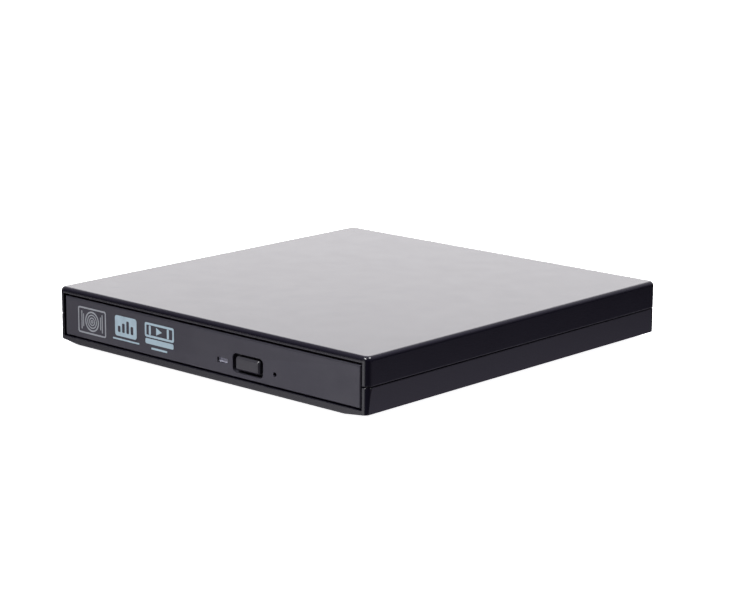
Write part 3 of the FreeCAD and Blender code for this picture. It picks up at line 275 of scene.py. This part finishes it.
def ribbon(name, turn=0.0):
    """Polyester flat cable with its conductors showing through, turned about Z by degrees."""
    surface = Surface(name, POLYESTER, 0.28)
    wave = surface.add("ShaderNodeTexWave", wave_type="BANDS", bands_direction="X")
    wave.inputs["Scale"].default_value = 560.0
    surface.link(surface.turned(math.radians(turn)), wave.inputs["Vector"])
    lines = surface.remap(wave.outputs["Fac"], 0.0, 1.0, 0.35, 0.6)
    surface.paint(surface.blend(lines, surface.mottle(150.0, 0.08), CONDUCTOR))
    surface.rough(500.0, 0.06)
    surface.bump(lines, 1e-5)
    return surface.done()


def printed(name, color):
    """Pad-printed ink: slightly broken coverage and a soft sheen."""
    surface = Surface(name, color, 0.46)
    gaps = surface.remap(surface.noise(3800.0, 5.0), 0.0, 0.35, 0.60, 0.75)
    surface.paint(surface.blend(gaps, surface.mottle(400.0, 0.08), tuple(c * 0.45 for c in color)))
    surface.rough(1500.0, 0.08)
    surface.bump(surface.noise(4200.0, 3.0), 4e-6)
    return surface.done()


def optic(name, tint, roughness, transmission):
    """Clear or smoked plastic that lets part of the light through."""
    surface = Surface(name, tint, roughness)
    surface.paint(surface.mottle(300.0, 0.06))
    surface.rough(700.0, 0.03)
    surface.bump(surface.noise(900.0, 2.0), 1.5e-6)
    return surface.done(Transmission_Weight=transmission, IOR=1.5)


MATERIALS = {
    "shell": moulded("shell_satin_black", SHELL, 0.24, grain=6400.0, depth=1.5e-6, spread=0.008, edge=3.5e-4,
                     flow=0.05),
    "bezel": moulded("bezel_charcoal", BEZEL, 0.46, grain=5200.0, depth=9e-6, edge=1.5e-4),
    "button": moulded("button_charcoal", (0.026, 0.025, 0.031), 0.38, depth=5e-6, edge=2.0e-4),
    "tray": moulded("tray_dark", (0.020, 0.020, 0.022), 0.44, grain=3600.0, depth=1.2e-5),
    "hub": moulded("hub_black", (0.012, 0.012, 0.013), 0.33, depth=4e-6),
    "acetal": moulded("acetal_grey", (0.055, 0.055, 0.058), 0.40, depth=5e-6),
    "nylon": moulded("nylon_black", (0.016, 0.016, 0.017), 0.52, grain=2800.0, depth=1.5e-5),
    "epoxy": moulded("epoxy_black", (0.020, 0.020, 0.021), 0.58, grain=4200.0, depth=1.2e-5),
    "lens_holder": moulded("holder_dark", (0.030, 0.022, 0.045), 0.40, depth=5e-6),
    "rubber": rubber("rubber_black", (0.014, 0.014, 0.014)),
    "sheet": metal("sheet_zinc", (0.56, 0.57, 0.58), 0.34),
    "ground": metal("steel_ground", (0.66, 0.66, 0.67), 0.20, brush=(30.0, 30.0, 1.0)),
    "screw": metal("steel_black", (0.10, 0.10, 0.105), 0.36, brush=(1.0, 1.0, 1.0)),
    "alloy": metal("alloy_cast", (0.45, 0.45, 0.46), 0.52, brush=(1.0, 1.0, 1.0), scale=900.0, depth=1.2e-5),
    "brass": metal("brass_turned", (0.62, 0.44, 0.20), 0.26, brush=(1.0, 1.0, 30.0)),
    "gold": metal("contact_gold", (0.78, 0.56, 0.22), 0.22),
    "copper": metal("winding_copper", (0.52, 0.20, 0.08), 0.32, brush=(1.0, 1.0, 60.0), scale=500.0,
                    depth=2e-5),
    "cover": moulded("cover_black_paint", (0.012, 0.012, 0.012), 0.55, grain=4800.0, depth=1.0e-5),
    "board": circuit("board_green", (0.012, 0.10, 0.045)),
    "flex": ribbon("flex_polyester"),
    "pickup_flex": ribbon("flex_pickup", 138.0),
    "print_blue": printed("print_blue_grey", PRINT_BLUE),
    "print_grey": printed("print_grey", PRINT_GREY),
    "print_gap": printed("print_gap_charcoal", BEZEL),
    "window": optic("window_smoked", (0.50, 0.50, 0.60), 0.22, 0.10),
    "lens": optic("lens_coated", (0.30, 0.38, 0.75), 0.05, 0.75),
}
LOOKS = {
    "shell": ["upper_shell", "lower_shell"],
    "bezel": ["front_bezel"],
    "button": ["eject_button"],
    "tray": ["tray", "latch_lever", "ejector_plunger"],
    "hub": ["hub"],
    "acetal": ["guide_left", "guide_right", "claw_1", "claw_2", "claw_3"],
    "nylon": ["bridge_connector", "drive_connector", "usb_insert", "dc_jack"],
    "epoxy": ["bridge_chips", "tray_chips", "eject_switch", "sled_motor"],
    "lens_holder": ["lens_holder"],
    "rubber": ["rubber_feet", "dampers", "turntable_ring"],
    "sheet": ["drive_bottom_case", "drive_top_cover", "rail_left", "rail_right", "traverse_plate",
              "underside_cover", "motor_base", "rotor", "usb_socket"],
    "ground": ["guide_rods", "lead_screw", "spindle_shaft", "latch_post", "latch_pivot",
               "solenoid_plunger", "ejector_spring"],
    "screw": ["shell_screws", "drive_mount_screws", "case_screws", "tray_screws", "traverse_screws"],
    "alloy": ["sled_body"],
    "brass": ["bearing_sleeve", "dc_jack_pin"],
    "copper": ["stator", "solenoid"],
    "cover": ["traverse_cover", "sled_cover"],
    "board": ["bridge_board", "tray_board", "connector_board"],
    "flex": ["main_flex"],
    "pickup_flex": ["pickup_flex"],
    "window": ["led_window"],
    "lens": ["objective_lens"],
}
# The record's material for each look that a new piece uses.
for look, names in LOOKS.items():
    for name in names:
        for slot in NODES[name].material_slots:
            slot.link = "OBJECT"
            slot.material = MATERIALS[look]


# ---------------------------------------------------------------- mesh helpers
def piece(name, build, look, body):
    """Make an object from a function that fills a bmesh, and let it ride on a CAD body if one is named."""
    mesh = bpy.data.meshes.new(name)
    bm = bmesh.new()
    build(bm)
    bmesh.ops.recalc_face_normals(bm, faces=bm.faces)
    bm.to_mesh(mesh)
    bm.free()
    mesh.materials.append(MATERIALS[look])
    obj = bpy.data.objects.new(name, mesh)
    bpy.context.scene.collection.objects.link(obj)
    mesh.shade_smooth()
    mesh.set_sharp_from_angle(angle=math.radians(SHARP_ANGLE))
    if body:
        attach(obj, body)
    return obj


def prism(bm, outline, y_front, y_back):
    """Close a polygon in the XZ plane between two Y levels."""
    front = [bm.verts.new((x, y_front, z)) for x, z in outline]
    back = [bm.verts.new((x, y_back, z)) for x, z in outline]
    bm.faces.new(front)
    bm.faces.new(list(reversed(back)))
    for i in range(len(outline)):
        j = (i + 1) % len(outline)
        bm.faces.new((front[i], back[i], back[j], front[j]))


def rounded_rect(cx, cz, wide, tall, radius, steps=5):
    """Points of a rectangle in the XZ plane with round corners."""
    points = []
    for k, (sx, sz) in enumerate(((1, 1), (-1, 1), (-1, -1), (1, -1))):
        for i in range(steps + 1):
            angle = math.pi / 2 * (k + i / steps)
            points.append((cx + sx * (wide / 2 - radius) + radius * math.cos(angle),
                           cz + sz * (tall / 2 - radius) + radius * math.sin(angle)))
    return points


def frame_strip(bm, outer, inner, y_front, y_back):
    """A closed band between two outlines that have the same number of points."""
    rows = []
    for outline, y in ((outer, y_front), (inner, y_front), (inner, y_back), (outer, y_back)):
        rows.append([bm.verts.new((x, y, z)) for x, z in outline])
    count = len(outer)
    for a in range(4):
        b = (a + 1) % 4
        for i in range(count):
            j = (i + 1) % count
            bm.faces.new((rows[a][i], rows[b][i], rows[b][j], rows[a][j]))


def ring(cx, cz, radius, steps=40):
    """Points of a circle in the XZ plane."""
    angles = [2 * math.pi * i / steps for i in range(steps)]
    return [(cx + radius * math.cos(angle), cz + radius * math.sin(angle)) for angle in angles]


def standing(at, axis):
    """Matrix that stands the local Z axis along a direction at a point."""
    turn = Vector((0, 0, 1)).rotation_difference(Vector(axis)).to_matrix().to_4x4()
    return Matrix.Translation(Vector(at)) @ turn


def circle(bm, move, radius, height, steps):
    """New points around the local Z axis of a matrix, at a height along it."""
    return [bm.verts.new(move @ Vector((radius * math.cos(2 * math.pi * i / steps),
                                        radius * math.sin(2 * math.pi * i / steps), height)))
            for i in range(steps)]


def stitch(bm, rows, closed_ends=(0, -1)):
    """Join closed rows of points into a tube and close the ends that are named."""
    count = len(rows[0])
    for low, high in zip(rows, rows[1:]):
        for i in range(count):
            j = (i + 1) % count
            bm.faces.new((low[i], low[j], high[j], high[i]))
    for end in closed_ends:
        bm.faces.new(rows[end])


def revolve(bm, profile, axis, centre, steps=32):
    """Spin (radius, height) points about an axis through centre; ends on the axis close the solid."""
    move = standing(centre, axis)
    rows = []
    for radius, height in profile:
        if radius < 1e-9:
            rows.append([bm.verts.new(move @ Vector((0, 0, height)))])
        else:
            rows.append(circle(bm, move, radius, height, steps))
    for low, high in zip(rows, rows[1:]):
        for i in range(steps):
            j = (i + 1) % steps
            if len(low) == 1:
                bm.faces.new((low[0], high[i], high[j]))
            elif len(high) == 1:
                bm.faces.new((low[i], low[j], high[0]))
            else:
                bm.faces.new((low[i], low[j], high[j], high[i]))


# ---------------------------------------------------------------- printed marks on the bezel
FACE_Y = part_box("front_bezel")[0][1]
FACE_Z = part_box("front_bezel")[0][2]
INK = 0.03 * MM


def mark_z(z):
    return FACE_Z + z * MM


def bar(bm, x0, x1, z, tall, front=INK, back=0.0):
    """Rounded bar in ink, between two depths in front of the bezel's face."""
    wide = x1 - x0
    corner = min(wide, tall) * 0.3
    outline = rounded_rect((x0 + x1) / 2 * MM, mark_z(z), wide * MM, tall * MM, corner * MM, 3)
    prism(bm, outline, FACE_Y - front, FACE_Y - back)


def disc_mark(bm):
    """Outlined square around a plain disc, with side bars."""
    x, z = -51.3, 6.2
    cx, cz = x * MM, mark_z(z)
    frame_strip(bm, rounded_rect(cx, cz, 13.4 * MM, 8.6 * MM, 0.8 * MM),
                rounded_rect(cx, cz, 12.4 * MM, 7.6 * MM, 0.4 * MM), FACE_Y - INK, FACE_Y)
    for outer, inner in ((3.3, 2.8), (2.3, 1.9), (1.4, 1.0), (0.6, 0.25)):
        frame_strip(bm, ring(cx, cz, outer * MM), ring(cx, cz, inner * MM), FACE_Y - INK, FACE_Y)
    for side in (-1, 1):
        for offset, tall in ((4.1, 4.2), (4.9, 6.0)):
            bar(bm, x + side * offset - 0.2, x + side * offset + 0.2, z, tall)


def data_mark(bm):
    """Filled badge over a thin bar; its cut-outs are a separate piece."""
    prism(bm, rounded_rect(-35.2 * MM, mark_z(7.1), 10.1 * MM, 6.6 * MM, 0.9 * MM), FACE_Y - INK, FACE_Y)
    bar(bm, -41.3, -29.0, 2.8, 0.5)


def data_gaps(bm):
    """Rising columns that read as cut-outs of the badge."""
    for x, tall in ((-38.3, 2.0), (-36.3, 3.0), (-34.3, 4.0), (-32.3, 2.6)):
        bar(bm, x - 0.6, x + 0.6, 5.1 + tall / 2, tall, 1.7 * INK, INK)


def film_mark(bm):
    """Film frame with a play triangle, over a thick and a thin bar."""
    cx, cz = -19.7 * MM, mark_z(8.1)
    frame_strip(bm, rounded_rect(cx, cz, 13.2 * MM, 4.6 * MM, 0.7 * MM),
                rounded_rect(cx, cz, 11.8 * MM, 3.2 * MM, 0.3 * MM), FACE_Y - INK, FACE_Y)
    for x in (-24.0, -15.8):
        bar(bm, x - 0.45, x + 0.45, 8.1, 3.0)
    prism(bm, [(-21.1 * MM, mark_z(6.9)), (-18.5 * MM, mark_z(8.1)), (-21.1 * MM, mark_z(9.3))],
          FACE_Y - INK, FACE_Y)
    bar(bm, -26.1, -13.3, 4.5, 1.7)
    bar(bm, -23.4, -16.2, 2.4, 0.6)


piece("mark_disc", disc_mark, "print_grey", "tray_unit")
piece("mark_data", data_mark, "print_blue", "tray_unit")
piece("mark_data_gaps", data_gaps, "print_gap", "tray_unit")
piece("mark_film", film_mark, "print_blue", "tray_unit")


# ---------------------------------------------------------------- feet, screws and small hardware
def feet(bm):
    """Four round pads with a shallow hollow in the middle of the tread and a soft rim."""
    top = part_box("rubber_feet")[1][2]
    profile = [(0, 0.25 * MM), (2.6 * MM, 0.25 * MM), (3.1 * MM, 0.0), (3.9 * MM, 0.0),
               (4.3 * MM, 0.12 * MM), (4.5 * MM, 0.45 * MM), (4.5 * MM, top), (0, top)]
    for x in (-FOOT_X, FOOT_X):
        for y in (-FOOT_Y, FOOT_Y):
            revolve(bm, profile, (0, 0, 1), (x * MM, y * MM, 0))


def cross_screw(bm, at, axis, head_radius, head_tall, shank_radius, length):
    """Pan-head screw with a cross recess; at is the top of its head and axis points out of the head."""
    move = standing(at, axis)
    reach, slot, depth = head_radius * 0.62, head_radius * 0.15, head_tall * 0.6
    plan = [(reach, slot), (slot, slot), (slot, reach), (-slot, reach), (-slot, slot), (-reach, slot),
            (-reach, -slot), (-slot, -slot), (-slot, -reach), (slot, -reach), (slot, -slot), (reach, -slot)]
    steps = 24
    count = len(plan)
    rim = circle(bm, move, head_radius * 0.86, 0.0, steps)
    top = [bm.verts.new(move @ Vector((x, y, 0.0))) for x, y in plan]
    floor = [bm.verts.new(move @ Vector((x * 0.8, y * 0.8, -depth))) for x, y in plan]
    edges = [bm.edges.new((rim[i], rim[(i + 1) % steps])) for i in range(steps)]
    edges += [bm.edges.new((top[i], top[(i + 1) % count])) for i in range(count)]
    bmesh.ops.triangle_fill(bm, use_beauty=True, use_dissolve=False, edges=edges)
    for i in range(count):
        j = (i + 1) % count
        bm.faces.new((top[i], top[j], floor[j], floor[i]))
    bm.faces.new(floor)
    below = [(head_radius, -0.2 * head_tall), (head_radius, -head_tall),
             (shank_radius, -head_tall), (shank_radius, -head_tall - length)]
    rows = [rim] + [circle(bm, move, radius, height, steps) for radius, height in below]
    stitch(bm, rows, closed_ends=(-1,))


def islands(node):
    """Points of each separate solid of a CAD node, in the order of its mesh."""
    bm = bmesh.new()
    bm.from_mesh(NODES[node].data)
    bmesh.ops.remove_doubles(bm, verts=bm.verts, dist=1e-6)
    bm.verts.index_update()
    seen = set()
    found = []
    for seed in bm.verts:
        if seed.index in seen:
            continue
        seen.add(seed.index)
        grown = [seed]
        for vert in grown:
            for edge in vert.link_edges:
                other = edge.other_vert(vert)
                if other.index not in seen:
                    seen.add(other.index)
                    grown.append(other)
        found.append([vert.co.copy() for vert in grown])
    bm.free()
    return found


def screws_like(node):
    """A screw with a cross recess at each plain screw of a CAD node, with the same head and shank."""
    def build(bm):
        for points in islands(node):
            low = Vector(min(p[i] for p in points) for i in range(3))
            high = Vector(max(p[i] for p in points) for i in range(3))
            size = high - low
            middle = (low + high) / 2
            spread = [abs(size[(i + 1) % 3] - size[(i + 2) % 3]) for i in range(3)]
            along = spread.index(min(spread))
            radius = size[(along + 1) % 3] / 2

            def reach(point):
                offset = point - middle
                offset[along] = 0.0
                return offset.length

            wide = [p[along] for p in points if reach(p) > radius * 0.97]
            sign = 1 if sum(wide) / len(wide) > middle[along] else -1
            top = high[along] if sign > 0 else low[along]
            tall = max(abs(top - value) for value in wide)
            shank = max([reach(p) for p in points if abs(p[along] - top) > tall * 1.5] or [radius * 0.5])
            axis = Vector((0, 0, 0))
            axis[along] = sign
            at = middle.copy()
            at[along] = top
            cross_screw(bm, at, axis, radius, tall, shank, size[along] - tall)
    return build


def usb_contacts(bm):
    """Five formed contacts on top of the socket's tongue, each with a raised crown near its tip."""
    crown = [(63.7, 0.0), (66.4, 0.0), (66.9, 0.08), (67.5, 0.11), (68.1, 0.08), (68.6, 0.0)]
    profile = [(y, 9.80) for y in (68.6, 63.7)] + [(y, 9.86 + rise) for y, rise in crown]
    for i in range(5):
        x = USB_X + (i - 2) * 0.8
        sides = [[bm.verts.new(((x + offset) * MM, y * MM, z * MM)) for y, z in profile]
                 for offset in (-0.2, 0.2)]
        bm.faces.new(sides[0])
        bm.faces.new(list(reversed(sides[1])))
        for j in range(len(profile)):
            k = (j + 1) % len(profile)
            bm.faces.new((sides[0][j], sides[1][j], sides[1][k], sides[0][k]))


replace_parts(piece("foot_pads", feet, "rubber", "enclosure"), "rubber_feet")
for screws, body in (("drive_mount_screws", "enclosure"), ("shell_screws", "enclosure"),
                     ("case_screws", "enclosure"), ("tray_screws", "tray_unit"),
                     ("traverse_screws", "tray_unit")):
    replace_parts(piece(screws + "_crossed", screws_like(screws), "screw", body), screws)
piece("usb_contacts", usb_contacts, "gold", "enclosure")

# ---------------------------------------------------------------- traverse pieces
TRAVERSE = Matrix.Translation((0, TRAVERSE_Y * MM, 0)) @ Matrix.Rotation(math.radians(TRAVERSE_TURN), 4, "Z")


def lead_thread(bm):
    """Screw with a real helical groove along its working length."""
    steps, crest, root, journal = 20, 1.2 * MM, 0.92 * MM, 0.6 * MM
    start, end, pitch = SCREW_U[0] * MM, SCREW_U[1] * MM, SCREW_PITCH * MM
    across, up = SCREW_V * MM, SCREW_Z * MM
    rows = []
    count = 420
    for k in range(count + 1):
        u = start + (end - start) * k / count
        row = []
        for i in range(steps):
            angle = 2 * math.pi * i / steps
            phase = (u / pitch - i / steps) % 1.0
            groove = max(0.0, 1.0 - abs(phase - 0.5) / 0.16)
            radius = crest - (crest - root) * min(1.0, groove * 1.6)
            row.append(bm.verts.new((u, across + radius * math.cos(angle), up + radius * math.sin(angle))))
        rows.append(row)
    stitch(bm, rows)
    length = 1.1 * MM
    profile = [(0, 0), (journal, 0), (journal, length), (0, length)]
    for foot in (start - 1.0 * MM, end - 0.1 * MM):
        revolve(bm, profile, (1, 0, 0), (foot, across, up), 20)
    bm.transform(TRAVERSE)


def lens_dome(bm):
    """Lens with a flat rim and a domed middle."""
    profile = [(0, 0), (2.2 * MM, 0), (2.2 * MM, 0.10 * MM), (1.9 * MM, 0.12 * MM)]
    profile += [(1.75 * MM * math.cos(a), 0.12 * MM + 0.28 * MM * math.sin(a))
                for a in (math.pi / 2 * i / 8 for i in range(8))]
    profile.append((0, 0.40 * MM))
    revolve(bm, profile, (0, 0, 1), TRAVERSE @ Vector((LENS_U * MM, 0, LENS_Z * MM)), 40)


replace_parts(piece("lead_screw_thread", lead_thread, "ground", "lead_screw"), "lead_screw")
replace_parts(piece("lens_dome", lens_dome, "lens", "lens"), "objective_lens")


def flex_sheet(bm):
    """The folded flat cable as one thin strip, fine enough to bend between its two bodies."""
    route = [(54.0, 5.14), (52.4, 5.12), (51.8, 4.7), (50.0, 4.61), (-54.6, 4.61), (-55.0, 4.74),
             (-54.6, 4.86), (44.4, 4.86), (45.05, 5.0), (45.05, 5.25), (44.4, 5.36), (-30.4, 5.36),
             (-31.0, 5.6), (-31.0, 8.0), (-31.5, 8.24), (-34.3, 8.24)]
    longest_step = 4.0
    left, right = MAIN_FLEX_X
    path = []
    for (y0, z0), (y1, z1) in zip(route, route[1:]):
        parts = max(1, int(math.hypot(y1 - y0, z1 - z0) / longest_step))
        path += [(y0 + (y1 - y0) * i / parts, z0 + (z1 - z0) * i / parts) for i in range(parts)]
    path.append(route[-1])
    half = 0.05
    rows = []
    for i, (y, z) in enumerate(path):
        y0, z0 = path[max(0, i - 1)]
        y1, z1 = path[min(len(path) - 1, i + 1)]
        length = math.hypot(y1 - y0, z1 - z0)
        ny, nz = -(z1 - z0) / length * half, (y1 - y0) / length * half
        rows.append([bm.verts.new((x * MM, (y + s * ny) * MM, (z + s * nz) * MM))
                     for x, s in ((left, 1), (right, 1), (right, -1), (left, -1))])
    stitch(bm, rows)


def pickup_sheet(bm):
    """The pickup's flat cable, with a short riser at the sled."""
    low, high = PICKUP_FLEX_Z
    path = [(-33.0 + 2.0 * i, low) for i in range(29)] + [(25.45, low), (25.45, high)]
    half = 0.045
    near, far = PICKUP_FLEX_V
    rows = []
    for i, (u, z) in enumerate(path):
        du, dz = (0.0, half) if i < len(path) - 1 else (half, 0.0)
        rows.append([bm.verts.new(TRAVERSE @ Vector(((u + s * du) * MM, v * MM, (z + s * dz) * MM)))
                     for v, s in ((near, 1), (far, 1), (far, -1), (near, -1))])
    stitch(bm, rows)


def eject_coil(bm):
    """Compression spring between the tray's wall and the plunger's collar."""
    steps, turns, mean, wire = 8, 9, 1.7 * MM, 0.25 * MM
    start, end = COIL_Y[0] * MM + wire, COIL_Y[1] * MM - wire
    along = Vector((0, 1, 0))
    count = turns * 20
    rows = []
    for k in range(count + 1):
        turn = 2 * math.pi * turns * k / count
        out = Vector((math.cos(turn), 0, math.sin(turn)))
        centre = Vector((COIL_X * MM, start + (end - start) * k / count, COIL_Z * MM)) + out * mean
        angles = [2 * math.pi * i / steps for i in range(steps)]
        rows.append([bm.verts.new(centre + wire * (out * math.cos(angle) + along * math.sin(angle)))
                     for angle in angles])
    stitch(bm, rows)


# These three pieces ride on no body; their placement is baked into their meshes.
pickup = piece("pickup_sheet", pickup_sheet, "pickup_flex", None)
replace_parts(pickup, "pickup_flex")
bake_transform(pickup)
coil = piece("eject_coil", eject_coil, "ground", None)
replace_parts(coil, "ejector_spring")
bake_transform(coil)
flex = piece("flat_flex", flex_sheet, "flex", None)
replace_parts(flex, "main_flex")
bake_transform(flex)

# ---------------------------------------------------------------- stage, light and camera
floor_surface = Surface("floor_paper", (0.93, 0.93, 0.93), 0.85)
floor_surface.paint(floor_surface.mottle(3.0, 0.01))
floor_surface.bump(floor_surface.noise(180.0, 4.0), 2e-5)
floor_mesh = bpy.data.meshes.new("floor")
floor_corners = ((-1, -1), (1, -1), (1, 1), (-1, 1))
floor_mesh.from_pydata([(x * FLOOR_HALF, y * FLOOR_HALF, 0.0) for x, y in floor_corners], [], [(0, 1, 2, 3)])
floor_mesh.materials.append(floor_surface.done(Emission_Color=(1.0, 1.0, 1.0, 1.0),
                                               Emission_Strength=FLOOR_GLOW))
floor = bpy.data.objects.new("floor", floor_mesh)
bpy.context.scene.collection.objects.link(floor)
# The paper is white for the camera alone; what lights the drive from below is in studio_world.
floor.visible_glossy = False
floor.visible_diffuse = False


def studio_world():
    """White surroundings for the camera. Light and gloss see a lit backdrop behind and to the left,
    dark low surroundings, and a pale table close below."""
    world = bpy.data.worlds.new("studio")
    bpy.context.scene.world = world
    world.use_nodes = True
    tree = world.node_tree
    tree.nodes.clear()

    def math_node(operation, a, b):
        node = tree.nodes.new("ShaderNodeMath")
        node.operation = operation
        for i, value in enumerate((a, b)):
            if isinstance(value, (int, float)):
                node.inputs[i].default_value = value
            else:
                tree.links.new(value, node.inputs[i])
        return node.outputs[0]

    def ramp(value, points):
        """Piecewise-linear levels over -1 to 1."""
        node = tree.nodes.new("ShaderNodeValToRGB")
        while len(node.color_ramp.elements) < len(points):
            node.color_ramp.elements.new(0.5)
        for element, (position, level) in zip(node.color_ramp.elements, points):
            element.position = (position + 1) / 2
            element.color = (level, level, level, 1.0)
        tree.links.new(math_node("ADD", math_node("MULTIPLY", value, 0.5), 0.5), node.inputs["Fac"])
        return node.outputs["Color"]

    direction = tree.nodes.new("ShaderNodeTexCoord").outputs["Generated"]
    split = tree.nodes.new("ShaderNodeSeparateXYZ")
    tree.links.new(direction, split.inputs[0])

    def patch(side, across, upward):
        """Brightness that depends on the heading towards one side and on the height."""
        heading = math_node("ADD", math_node("MULTIPLY", split.outputs["X"], side[0]),
                            math_node("MULTIPLY", split.outputs["Y"], side[1]))
        return math_node("MULTIPLY", ramp(heading, across), ramp(split.outputs["Z"], upward))

    def background(strength, color):
        node = tree.nodes.new("ShaderNodeBackground")
        node.inputs["Color"].default_value = (*color, 1.0)
        tree.links.new(strength, node.inputs["Strength"])
        return node.outputs[0]

    lit = math_node("ADD", patch(BACKDROP_SIDE, BACKDROP_ACROSS, BACKDROP_UP),
                    patch(FRONT_SIDE, TABLE_ACROSS, TABLE_DOWN))
    around = patch(CORNER_SIDE, CORNER_ACROSS, SURROUNDINGS)
    soft = tree.nodes.new("ShaderNodeAddShader")
    tree.links.new(background(lit, LIT_COLOR), soft.inputs[0])
    tree.links.new(background(around, AROUND_COLOR), soft.inputs[1])
    white = tree.nodes.new("ShaderNodeBackground")
    white.inputs["Color"].default_value = (1.0, 1.0, 1.0, 1.0)
    choose = tree.nodes.new("ShaderNodeMixShader")
    tree.links.new(tree.nodes.new("ShaderNodeLightPath").outputs["Is Camera Ray"], choose.inputs["Fac"])
    tree.links.new(soft.outputs[0], choose.inputs[1])
    tree.links.new(white.outputs[0], choose.inputs[2])
    output = tree.nodes.new("ShaderNodeOutputWorld")
    tree.links.new(choose.outputs[0], output.inputs["Surface"])


def softbox(name, at, target, size, power):
    """Round area light that faces a target and isn't seen itself."""
    light = bpy.data.lights.new(name, "AREA")
    light.shape = "DISK"
    light.size = size
    light.energy = power
    obj = bpy.data.objects.new(name, light)
    obj.location = at
    obj.rotation_euler = (Vector(target) - Vector(at)).to_track_quat("-Z", "Y").to_euler()
    obj.visible_camera = False
    bpy.context.scene.collection.objects.link(obj)


studio_world()
for settings in SOFTBOXES:
    softbox(*settings)

camera_data = bpy.data.cameras.new("camera")
camera_data.sensor_width = 36.0
camera_data.lens = CAMERA_LENS
camera_data.shift_x, camera_data.shift_y = CAMERA_SHIFT
camera_data.clip_start, camera_data.clip_end = 0.01, 50.0
camera = bpy.data.objects.new("camera", camera_data)
camera.matrix_world = (Matrix.Translation(CAMERA_AT)
                       @ Matrix.Rotation(math.radians(CAMERA_YAW), 4, "Z")
                       @ Matrix.Rotation(math.radians(90.0 - CAMERA_PITCH), 4, "X")
                       @ Matrix.Rotation(math.radians(CAMERA_ROLL), 4, "Z"))
bpy.context.scene.collection.objects.link(camera)
bpy.context.scene.camera = camera
bpy.context.scene.view_settings.view_transform = "Standard"
